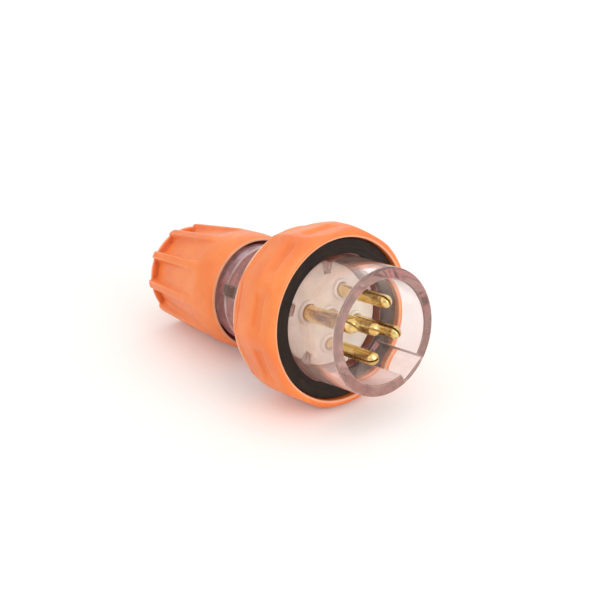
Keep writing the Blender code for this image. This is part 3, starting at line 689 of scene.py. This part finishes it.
def cream_polyester():
    """Moulded PBT polyester: warm cream, a little translucent, with soft flow marks."""
    finish, tree, shader, _, flow = mottled(
        "cream_polyester", size=7.0, detail=3.0, colours=("#F0E8DA", "#F9F2E7"),
        smooth=0.38, rough=0.5)
    feed(tree, bump(tree, flow, strength=0.3, depth=0.2), shader, "Normal")
    shader.inputs["Subsurface Weight"].default_value = 0.3
    shader.inputs["Subsurface Radius"].default_value = (1.0, 0.7, 0.5)
    shader.inputs["Subsurface Scale"].default_value = 1.5 * MM
    return finish


def turned_brass():
    """Brass turned from bar: bright, with fine rings from the tool and darker smudges."""
    finish, tree, shader, place, _ = mottled(
        "turned_brass", size=3.5, detail=4.0, colours=("#E2C074", "#F9E4A6"),
        smooth=0.2, rough=0.32)
    # a wave has 20 radians to a unit, so rings of 0.25 mm a radian stand 1.6 mm apart: coarser
    # than real tool marks, which would not show
    rings = add(tree, "ShaderNodeTexWave", {
        "Vector": place, "Scale": per(0.25) / 20.0, "Distortion": 0.6},
        wave_type="BANDS", bands_direction="Z")
    feed(tree, bump(tree, (rings, "Fac"), strength=0.12, depth=0.02), shader, "Normal")
    shader.inputs["Metallic"].default_value = 1.0
    return finish


def zinc_plated_steel():
    """Zinc-plated screws: cool grey with a slightly mottled plating."""
    finish, _, shader, *_ = mottled(
        "zinc_plated_steel", size=1.2, detail=3.0, colours=("#A9ABAC", "#C9CACB"),
        smooth=0.25, rough=0.4)
    shader.inputs["Metallic"].default_value = 1.0
    return finish


def natural_nylon():
    """Unfilled nylon washer: milky white and waxy."""
    finish, _, shader, *_ = mottled(
        "natural_nylon", size=4.0, detail=3.0, colours=("#E6E3DA", "#F1EFE8"),
        smooth=0.45, rough=0.45)
    shader.inputs["Subsurface Weight"].default_value = 0.3
    shader.inputs["Subsurface Scale"].default_value = 1.0 * MM
    return finish


# Clear mouldings

def shroud_columns():
    """Angles of the shroud's columns: even ones, and the edges of the keyway and the ribs."""
    keyway = (half_angle(KEYWAY_HALF, KEYWAY_FLOOR), half_angle(KEYWAY_HALF, SKIRT_BORE))
    rib = half_angle(NOTCH_HALF - GAP, SKIRT_BORE)
    features = [(KEYWAY_ANGLE, keyway)] + [(angle, (rib, rib + RIB_SLOPE)) for angle, _ in NOTCHES]
    edges = [(angle + side * off) % 360.0
             for angle, offs in features for side in (-1, 1) for off in offs]
    apart = 0.5
    even = [a for a in all_round(240) if all(abs(off_angle(a, b)) > apart for b in edges)]
    return sorted(even + edges)


def same(radius):
    """A radius that is the same at every angle."""
    return lambda angle: radius


def keyway_radius(station, angle):
    """Radius inside the skirt along the keyway, where the bore narrows to its mouth."""
    off = abs(off_angle(angle, KEYWAY_ANGLE))
    if off < half_angle(KEYWAY_HALF, KEYWAY_FLOOR) + 0.01:
        return KEYWAY_FLOOR / math.cos(math.radians(off))
    return SKIRT_MOUTH + (SKIRT_BORE - SKIRT_MOUTH) * eased(station, *BORE_DRAFT)


def rib_radius(angle):
    """Radius of the shroud's inside where its ribs stand in the carrier's notches."""
    for centre, depth in NOTCHES:
        if abs(off_angle(angle, centre)) < half_angle(NOTCH_HALF - GAP, SKIRT_BORE) + 0.01:
            return SKIRT_BORE - depth + GAP
    return SKIRT_BORE


def front_shroud(finish):
    """Skirt, drum and spigot in one clear moulding."""
    profile = edge("outer front", 0.0, SKIRT_RADIUS, RIM_ROUND)
    profile += arc(SKIRT_LENGTH - SOFT_EDGE, SKIRT_ROOT + SOFT_EDGE, SOFT_EDGE, 270, 360)
    profile += edge("outer front", SKIRT_LENGTH, DRUM_RADIUS, BLUNT_EDGE)
    profile += edge("outer rear", DRUM_REAR, DRUM_RADIUS, EDGE)
    profile += [(DRUM_REAR, SPIGOT_RADIUS)]
    profile += edge("outer rear", SPIGOT_END, SPIGOT_RADIUS, EDGE)
    profile += edge("inner rear", SPIGOT_END, SHROUD_BORE, EDGE)
    profile += [(CARRIER_SHOULDER - GAP, SHROUD_BORE)]
    rows = [(station, same(radius)) for station, radius in profile]
    rows += [(CARRIER_SHOULDER - GAP, rib_radius), (CARRIER_FRONT + RIB_END, rib_radius)]
    rows += [(CARRIER_FRONT, lambda angle: rib_radius(angle) * 0.9 + SKIRT_BORE * 0.1)]
    rows += [(CARRIER_FRONT - 0.05, same(SKIRT_BORE)), (KEYWAY_END + 0.2, same(SKIRT_BORE))]
    for station in [KEYWAY_END, 16.0] + steps(12.0, BORE_DRAFT[0], 7) + [RIM_ROUND]:
        rows += [(station, lambda angle, z=station: keyway_radius(z, angle))]
    for station, flare in edge("inner front", 0.0, 0.0, RIM_ROUND)[1:]:
        rows += [(station, lambda angle, z=station, out=flare * RIM_FLARE:
                  keyway_radius(z, angle) + out)]
    columns = shroud_columns()
    loops = [[polar(radius(angle), angle, z) for angle in columns] for z, radius in rows]
    even_shading(skinned_piece("shroud", loops, finish, "shell", "clear_polycarbonate",
                               ["front_shroud"], sharp=28.0))


def neck_radius(station):
    """Radius of the rear body's cone and neck, with the bead."""
    cone = eased(station, NECK_START + 0.7, FLANGE_REAR - 1.3)
    aside = between(abs(station - BEAD_STATION), 0.0, BEAD_HALF)
    bead = BEAD_HEIGHT * math.cos(math.pi / 2.0 * aside) ** 2
    return NECK_RADIUS + (CONE_RADIUS - NECK_RADIUS) * cone + bead


def stop_lug(finish):
    """Stop on the neck, which interrupts the bead."""
    bm = bmesh.new()
    place = at(NECK_RADIUS + (LUG_HEIGHT - LUG_SINK) / 2, LUG_ANGLE, (LUG_FRONT + LUG_REAR) / 2)
    block(bm, (LUG_HEIGHT + LUG_SINK, LUG_WIDTH, LUG_REAR - LUG_FRONT), place)
    soften(piece("stop_lug", bm, finish, "shell", "clear_polycarbonate"), LUG_EDGE)


def thread_radius(station, angle):
    """Radius of the gland's thread, whose crest winds once round each pitch."""
    turn = (station / THREAD_PITCH + angle / 360.0) % 1.0
    crest = abs(2.0 * turn - 1.0)
    ends = eased(station, THREAD_START, THREAD_START + THREAD_RUNOUT)
    ends *= eased(station, BODY_REAR - 0.5, BODY_REAR - 0.5 - THREAD_RUNOUT)
    return THREAD_RADIUS - THREAD_DEPTH * (1.0 - eased(crest, *THREAD_FLANK)) * ends


def rear_body(finish):
    """Cover behind the terminals: nose, flange, cone, and neck with the gland's thread."""
    nose = CARRIER_REAR + GAP
    barrel = SHROUD_BORE - NOSE_GAP
    groove = barrel - SEAL_GROOVE_DEPTH
    front = edge("outer front", nose, barrel, FINE_EDGE)
    for side, radii in ((-1, (barrel, groove)), (1, (groove, barrel))):
        front += [(SEAL_STATION + side * SEAL_GROOVE_HALF, radius) for radius in radii]
    front += [(BODY_FRONT, barrel), (BODY_FRONT, LIP_RADIUS)]
    front += [(BODY_FRONT + LIP_LENGTH, LIP_RADIUS), (BODY_FRONT + LIP_LENGTH, FLANGE_RADIUS)]
    front += edge("outer rear", FLANGE_REAR, FLANGE_RADIUS, SOFT_EDGE)
    front += [(FLANGE_REAR, CONE_RADIUS + SOFT_EDGE)]
    neck = steps(FLANGE_REAR + 0.3, BEAD_STATION - BEAD_HALF, 18)
    neck += steps(BEAD_STATION - BEAD_HALF + 0.1, BEAD_STATION + BEAD_HALF, 13)
    front += [(station, neck_radius(station)) for station in neck + [THREAD_START - 0.3]]
    inside = edge("inner rear", BODY_REAR, MOUTH_RADIUS, FINE_EDGE)
    inside += [(SEAT_REAR, MOUTH_RADIUS), (SEAT_REAR, SEAT_BORE), (SEAT_FRONT, SEAT_BORE)]
    inside += [(SEAT_FRONT, NECK_BORE), (NECK_START, NECK_BORE)]
    inside += [(FLANGE_REAR + (NECK_START - FLANGE_REAR) * CONE_BORE_SHARE, NOSE_BORE)]
    inside += [(nose, NOSE_BORE)]
    angles = all_round(180)
    thread = steps(THREAD_START + 0.05, BODY_REAR - 0.1, 82)
    loops = circles(front, angles)
    loops += [[polar(thread_radius(z, angle), angle, z) for angle in angles] for z in thread]
    loops += circles(inside, angles)
    even_shading(skinned_piece("cover", loops, finish, "shell", "clear_polycarbonate",
                               ["rear_body"], sharp=28.0))


# Seals and gland

def sealing_gasket(finish):
    """Flat washer with two fine sealing beads on its face."""
    inner = SKIRT_ROOT + GAP
    face = GASKET_FRONT + SEAL_BEAD_HEIGHT
    profile = []
    for radius in steps(inner + 0.2, GASKET_RADIUS - SOFT_EDGE, 30):
        beads = sum(hump(radius, inner + bead, SEAL_BEAD_WIDTH) for bead in SEAL_BEADS)
        profile += [(face - SEAL_BEAD_HEIGHT * min(1.0, beads), radius)]
    profile += edge("outer front", face, GASKET_RADIUS, SOFT_EDGE)
    profile += [(GASKET_REAR, GASKET_RADIUS), (GASKET_REAR, inner), (GASKET_FRONT + 0.3, inner)]
    turned_piece("gasket", profile, 160, finish, "shell", "black_rubber", ["sealing_gasket"])


def body_seal(finish):
    """Sealing cord in the rear body's groove."""
    profile = arc(SEAL_STATION, SHROUD_BORE - GAP - SEAL_CORD_RADIUS, SEAL_CORD_RADIUS, 0, 330, 11)
    turned_piece("seal_cord", profile, 120, finish, "shell", "black_rubber", ["body_seal"])


def cable_grommet(finish):
    """Rubber bush round the cable, with lips in its bore."""
    outer = MOUTH_RADIUS - GAP
    front = SEAT_REAR + GAP
    profile = edge("outer front", front, outer, EDGE)
    profile += [(BODY_REAR, outer)]
    profile += edge("outer rear", GROMMET_REAR, outer - GROMMET_TAPER, BLUNT_EDGE)
    profile += edge("inner rear", GROMMET_REAR, GROMMET_BORE, SOFT_EDGE)
    for station in steps(GROMMET_REAR - 1.0, front + 1.0, 24):
        turn = 2.0 * math.pi * (GROMMET_REAR - 1.0 - station) / GROMMET_LIP_SPACING
        profile += [(station, GROMMET_BORE + GROMMET_LIP * (1.0 - math.cos(turn)) / 2.0)]
    profile += edge("inner front", front, GROMMET_BORE, SOFT_EDGE)
    turned_piece("grommet", profile, 96, finish, "shell", "black_rubber", ["cable_grommet"])


def slip_washer(finish):
    """Washer between the grommet and the nut."""
    outer = NUT_THREAD - 2 * GAP
    profile = edge("outer front", WASHER_FRONT, outer, FINE_EDGE)
    profile += edge("outer rear", WASHER_REAR, outer, FINE_EDGE)
    profile += edge("inner rear", WASHER_REAR, WASHER_BORE, FINE_EDGE)
    profile += edge("inner front", WASHER_FRONT, WASHER_BORE, FINE_EDGE)
    turned_piece("washer", profile, 96, finish, "washer", "white_nylon", ["slip_washer"])


# Lock ring

def ring_corner(station):
    """Radius that the ring's ridges are turned down to."""
    front = rounding(station - RING_FRONT, LIP_ROUND, LIP_DROP)
    rear = CORNER_DROP * between(station, RING_REAR - CORNER_RUN, RING_REAR) ** 2.5
    return RING_RIDGE - front - rear


def ring_flat(station):
    """Distance from the axis to the middle of a flat."""
    return RING_FLAT - FLAT_DROP * between(station, POCKET_REAR, RING_REAR) ** 1.4


def ring_radius(station, off):
    """Radius of the ring's outside, at an angle off the middle of a flat."""
    soft = HALF_SIDE - math.hypot(HALF_SIDE - abs(off), RIDGE_SOFT)
    flat = ring_flat(station) / math.cos(math.radians(soft))
    corner = ring_corner(station)
    apart = between(corner - flat, -RIDGE_BLEND, RIDGE_BLEND)
    radius = flat * apart + corner * (1.0 - apart) - RIDGE_BLEND * apart * (1.0 - apart)
    side = eased(abs(off), POCKET_HALF, POCKET_HALF - POCKET_SIDE)
    front = eased(station, POCKET_FRONT, POCKET_FRONT + POCKET_FRONT_SLOPE)
    rear = eased(station, POCKET_REAR, POCKET_REAR - POCKET_REAR_SLOPE)
    groove = RING_GROOVE_DEPTH * hump(station, RING_GROOVE, RING_GROOVE_WIDTH)
    return radius - POCKET_DEPTH * side * front * rear - groove


def lock_ring(finish):
    """Ten-sided ring with a grip pocket in each flat and a bead round its rear edge."""
    columns = all_round(480)
    offs = [off_angle(angle * SIDES, 0.0) / SIDES for angle in columns]
    lip = POCKET_FRONT - 0.2 - RING_FRONT
    stations = [RING_FRONT + lip * part ** 2 for part in steps(0.0, 1.0, 16)]
    stations += steps(POCKET_FRONT, POCKET_FRONT + POCKET_FRONT_SLOPE, 4)
    stations += steps(POCKET_FRONT + 1.2, POCKET_REAR, 14)
    stations += steps(POCKET_REAR + 0.8, RING_GROOVE - 1.4, 13)
    stations += steps(RING_GROOVE - 1.0, RING_GROOVE + 1.0, 13)
    stations += steps(RING_GROOVE + 1.4, RING_REAR - 1.2, 4)
    loops = [[polar(ring_radius(z, off), angle, z) for angle, off in zip(columns, offs)]
             for z in stations]
    bead = (RING_REAR - RING_BEAD_ROUND, RING_BEAD - RING_BEAD_ROUND)
    inner = arc(*bead, RING_BEAD_ROUND, 100, 0, 6)
    inner += edge("inner rear", RING_REAR, RING_HOLE, SOFT_EDGE)
    inner += [(DRUM_REAR + GAP, RING_HOLE), (DRUM_REAR + GAP, RING_BORE - GAP)]
    inner += [(DRUM_REAR, RING_BORE), (RING_FRONT + 0.6, RING_BORE)]
    inner += edge("inner front", RING_FRONT, RING_BORE, SOFT_EDGE)
    loops += circles(inner, columns)
    skinned_piece("ring", loops, finish, "ring", "orange_nylon", ["lock_ring"], sharp=35.0)


# Gland nut

def nut_ridge(station):
    """Radius of the nut over its ridges."""
    front = rounding(station - NUT_FRONT, BAND_LENGTH, BAND_DROP)
    rear = rounding(NUT_REAR - station, NUT_EDGE, NUT_EDGE_DROP)
    return NUT_RIDGE - front - rear - NUT_TAPER * between(station, NUT_STRAIGHT, NUT_REAR)


def nut_floor(station):
    """Radius at the bottom of the scallops between the ridges."""
    rear = rounding(NUT_REAR - station, NUT_EDGE, NUT_EDGE_DROP)
    return NUT_RIDGE - rear - SCALLOP_DROP * between(station, SCALLOP_START, NUT_REAR)


def nut_radius(station, off):
    """Radius of the nut at an angle off a ridge."""
    ridge = nut_ridge(station)
    scallop = 1.0 - between(HALF_SIDE - abs(off), 0.0, HALF_SIDE - RIDGE_HALF) ** SCALLOP_POWER
    radius = ridge - max(0.0, ridge - nut_floor(station)) * scallop
    crest = RIDGE_CREST * min(1.0, abs(off) / RIDGE_HALF) ** 2
    foot = FOOT_DEPTH * hump(abs(off), RIDGE_HALF + FOOT_OFF, FOOT_WIDTH)
    radius -= (crest + foot) * eased(station, SCALLOP_START, NUT_STRAIGHT)
    lip = eased(station, NUT_LIP_FRONT - NUT_LIP_SLOPE, NUT_LIP_FRONT)
    return radius + max(0.0, ridge - NUT_LIP_DROP - radius) * lip


def gland_nut(finish):
    """Nut with a round band in front, and ten ridges with scallops between them."""
    columns = all_round(480)
    offs = [off_angle(angle * SIDES, 180.0) / SIDES for angle in columns]
    lip = NUT_REAR - NUT_LIP_FRONT - 0.2
    stations = [NUT_FRONT + BAND_LENGTH * part ** 2 for part in steps(0.0, 1.0, 12)]
    stations += steps(NUT_FRONT + BAND_LENGTH + 1.0, NUT_STRAIGHT, 14)
    stations += steps(NUT_STRAIGHT + 1.5, NUT_LIP_FRONT - NUT_LIP_SLOPE - 0.1, 22)
    stations += steps(NUT_LIP_FRONT - NUT_LIP_SLOPE, NUT_LIP_FRONT, 6)
    stations += [NUT_REAR - lip * part ** 2 for part in steps(1.0, 0.0, 7)]
    loops = [[polar(nut_radius(z, off), angle, z) for angle, off in zip(columns, offs)]
             for z in stations]
    mouth_end = NUT_FRONT + NUT_MOUTH_DEPTH
    inner = edge("inner rear", NUT_REAR, NUT_CABLE_RADIUS, NUT_CABLE_EDGE)
    inner += [(NUT_SHOULDER, NUT_SHOULDER_BORE), (NUT_SHOULDER, NUT_THREAD)]
    inner += [(mouth_end + 1.0, NUT_THREAD), (mouth_end, NUT_MOUTH)]
    inner += edge("inner front", NUT_FRONT, NUT_MOUTH, NUT_MOUTH_EDGE)
    loops += circles(inner, columns)
    skinned_piece("nut", loops, finish, "nut", "orange_nylon", ["gland_nut"], sharp=35.0)


# Carrier and pins

def pin_carrier(finish):
    """Block that holds the pins, with a boss round each and notches in its edge."""
    columns = all_round(300)
    half = half_angle(NOTCH_HALF, CARRIER_NOSE_RADIUS)

    def nose(angle, radius):
        for centre, depth in NOTCHES:
            if abs(off_angle(angle, centre)) < half:
                return min(radius, CARRIER_NOSE_RADIUS - depth)
        return radius

    rows = [(CARRIER_FRONT, radius) for radius in steps(1.0, CARRIER_NOSE_RADIUS - EDGE, 16)]
    rows += edge("outer front", CARRIER_FRONT, CARRIER_NOSE_RADIUS, EDGE)[1:]
    rows += [(CARRIER_SHOULDER, CARRIER_NOSE_RADIUS)]
    loops = [[polar(nose(angle, radius), angle, z) for angle in columns] for z, radius in rows]
    narrow = CARRIER_RADIUS - FINE_EDGE
    body = [(CARRIER_SHOULDER, narrow), (CARRIER_SHOULDER + FINE_EDGE, CARRIER_RADIUS)]
    body += [(CARRIER_REAR - FINE_EDGE, CARRIER_RADIUS), (CARRIER_REAR, narrow)]
    bm = bmesh.new()
    skin(bm, loops + circles(body, columns), closed=False)
    top = CARRIER_FRONT - BOSS_HEIGHT
    foot = CARRIER_FRONT + BOSS_ROOT
    for _, circle, angle, thickness, _ in PINS:
        outer = thickness + BOSS_WALL
        profile = [(foot, outer + 0.3), (CARRIER_FRONT, outer + 0.15)]
        profile += reversed(edge("outer front", top, outer, FINE_EDGE))
        profile += [(top, thickness + 0.35), (foot, thickness + 0.3)]
        turned(bm, profile, 48, place=at(circle, angle))
    piece("carrier", bm, finish, "shell", "cream_moulding", ["pin_carrier"], sharp=35.0)


def pin(name, circle, angle, thickness, split, finish):
    """Split round pin with a domed tip, and its terminal."""
    profile = arc(PIN_TIP + thickness, 0.0, thickness, 178, 90, 12)
    profile += [(TERMINAL_FRONT, thickness)]
    profile += edge("outer front", TERMINAL_FRONT, TERMINAL_RADIUS, FINE_EDGE)
    profile += edge("outer rear", TERMINAL_REAR, TERMINAL_RADIUS, FINE_EDGE)
    profile += [(TERMINAL_REAR, WIRE_RADIUS + WIRE_LEAD), (TERMINAL_REAR - WIRE_LEAD, WIRE_RADIUS)]
    profile += [(TERMINAL_REAR - WIRE_DEPTH, WIRE_RADIUS)]
    profile += [(TERMINAL_REAR - WIRE_DEPTH - DRILL_POINT, 0.1)]
    bm = bmesh.new()
    turned(bm, profile, 64, closed=False, place=at(circle, angle))
    made = piece(name + "_contact", bm, finish, "shell", "brass", [name + "_pin"], sharp=32.0)
    saw = bmesh.new()
    direction = Matrix.Rotation(math.radians(split), 4, "Z")
    tip = Matrix.Translation(polar(circle, angle, PIN_TIP)) @ direction
    block(saw, (4 * thickness, SPLIT_WIDTH, 2 * SPLIT_DEPTH), tip)
    cut(made, saw)
    soften(made, SPLIT_EDGE)


# Stage

CAMERA_FROM_RIM = Vector((292.43, -278.10, 200.56)) * MM
CAMERA_ELEVATION = 24.94    # degrees that the camera looks down
CAMERA_TURN = 50.88         # degrees round from +Y, towards -X
CAMERA_LENS = 72.5
CAMERA_SHIFT = -0.0015
FLOOR_HALF = 3.0            # metres
FLOOR_GLOW = 0.12
TENT_WALLS = 0.64           # glow of the light tent at the floor
TENT_RISE = 0.74            # and what its ceiling glows more

# Lamps: name, place and size in metres, power in watts
LAMPS = [
    ("left", (-0.35, -0.75, 0.5), (0.6, 0.6), 0.7),
    ("front", (0.8, 0.1, 0.4), (0.6, 0.6), 2.5),
    ("behind", (-0.75, 0.62, 0.3), (0.6, 0.3), 0.3),
]


def add_camera():
    """Camera at the photograph's angle."""
    data = bpy.data.cameras.new("camera")
    data.lens = CAMERA_LENS
    data.sensor_width = 36.0
    data.shift_x = CAMERA_SHIFT
    made = put_in_scene("camera", data)
    made.location = LAID.translation + CAMERA_FROM_RIM
    made.rotation_euler = (math.radians(90.0 - CAMERA_ELEVATION), 0.0, math.radians(CAMERA_TURN))
    bpy.context.scene.camera = made


def seen_rays(tree):
    """1 for what the camera sees, directly or through clear plastic, 0 for light on the plug."""
    rays = add(tree, "ShaderNodeLightPath")
    return arithmetic(tree, "MAXIMUM", (rays, "Is Camera Ray"), (rays, "Is Transmission Ray"))


def add_floor():
    """Plain pale floor that keeps the plug's shadow."""
    bm = bmesh.new()
    bmesh.ops.create_grid(bm, x_segments=1, y_segments=1, size=FLOOR_HALF)
    mesh = bpy.data.meshes.new("floor")
    bm.to_mesh(mesh)
    bm.free()
    floor = put_in_scene("floor", mesh)
    paper = bpy.data.materials.new("white_sweep")
    paper.use_nodes = True
    tree = paper.node_tree
    tree.nodes.clear()
    matt = add(tree, "ShaderNodeBsdfDiffuse", {"Color": linear("#F2ECE8")})
    level = times(tree, seen_rays(tree), FLOOR_GLOW)
    glow = add(tree, "ShaderNodeEmission", {"Color": linear("#FFFFFF"), "Strength": level})
    both = add(tree, "ShaderNodeAddShader", {0: (matt, 0), 1: (glow, 0)})
    add(tree, "ShaderNodeOutputMaterial", {"Surface": (both, 0)})
    mesh.materials.append(paper)


def add_light():
    """Light tent, whose ceiling glows more than its walls, and small square lamps in it."""
    world = bpy.data.worlds.new("studio")
    bpy.context.scene.world = world
    world.use_nodes = True
    tree = world.node_tree
    tree.nodes.clear()
    coords = add(tree, "ShaderNodeTexCoord")
    way = add(tree, "ShaderNodeSeparateXYZ", {"Vector": (coords, "Generated")})
    raised = arithmetic(tree, "MAXIMUM", (way, "Z"), 0.0)
    glow = arithmetic(tree, "MULTIPLY_ADD", times(tree, raised, raised), TENT_RISE, TENT_WALLS)
    white = linear("#FFFFFF")
    tent = add(tree, "ShaderNodeBackground", {"Color": white, "Strength": glow})
    plain = add(tree, "ShaderNodeBackground", {"Color": white, "Strength": 1.0})
    pick = add(tree, "ShaderNodeMixShader", {0: seen_rays(tree), 1: (tent, 0), 2: (plain, 0)})
    add(tree, "ShaderNodeOutputWorld", {"Surface": (pick, 0)})
    for name, place, size, power in LAMPS:
        data = bpy.data.lights.new(name, "AREA")
        data.shape = "RECTANGLE"
        data.size, data.size_y = size
        data.energy = power
        lamp = put_in_scene(name, data)
        lamp.location = place
        lamp.rotation_euler = (-Vector(place)).to_track_quat("-Z", "Y").to_euler()


# The plug

orange = moulded_orange_nylon("moulded_orange_nylon")
# the nut's finish, with painted shade in its mouth
bore_shaded_orange = moulded_orange_nylon("bore_shaded_orange_nylon", shaded_bore=NUT_MOUTH + 0.1)
# the milky haze is the plastic's own; more of it on the walls' side at -110 degrees is a painted
# reflection, and more towards the bottom of the matt rim is painted light
clear = clear_polycarbonate("clear_polycarbonate", "#F6DCD3", side=-110.0, hazes=(0.15, 0.04),
                            rim_hazes=(0.62, 0.17, 0.0, 1.0))
hazed = clear_polycarbonate("hazed_polycarbonate", "#F3DAD8", side=LUG_ANGLE,
                            hazes=(0.5, 1.0, 0.35, 1.0), painted_highlight=BEAD_STATION)
smoky = clear_polycarbonate("smoky_polycarbonate", "#A09A88", side=LUG_ANGLE, hazes=(0.5, 0.5))
rubber = epdm_rubber()
brass = turned_brass()
steel = zinc_plated_steel()

add_camera()
front_shroud(clear)
rear_body(hazed)
stop_lug(smoky)
sealing_gasket(rubber)
body_seal(rubber)
cable_grommet(rubber)
slip_washer(natural_nylon())
pin_carrier(cream_polyester())
for each in PINS:
    pin(*each, brass)
lock_ring(orange)
gland_nut(bore_shaded_orange)
for name, node in frame["nodes"].items():
    if name.endswith("_screw") or name.startswith("fixing_screw"):
        node.material_slots[0].material = steel
add_floor()
add_light()
bpy.context.scene.view_settings.view_transform = "Standard"

bpy.context.view_layer.update()
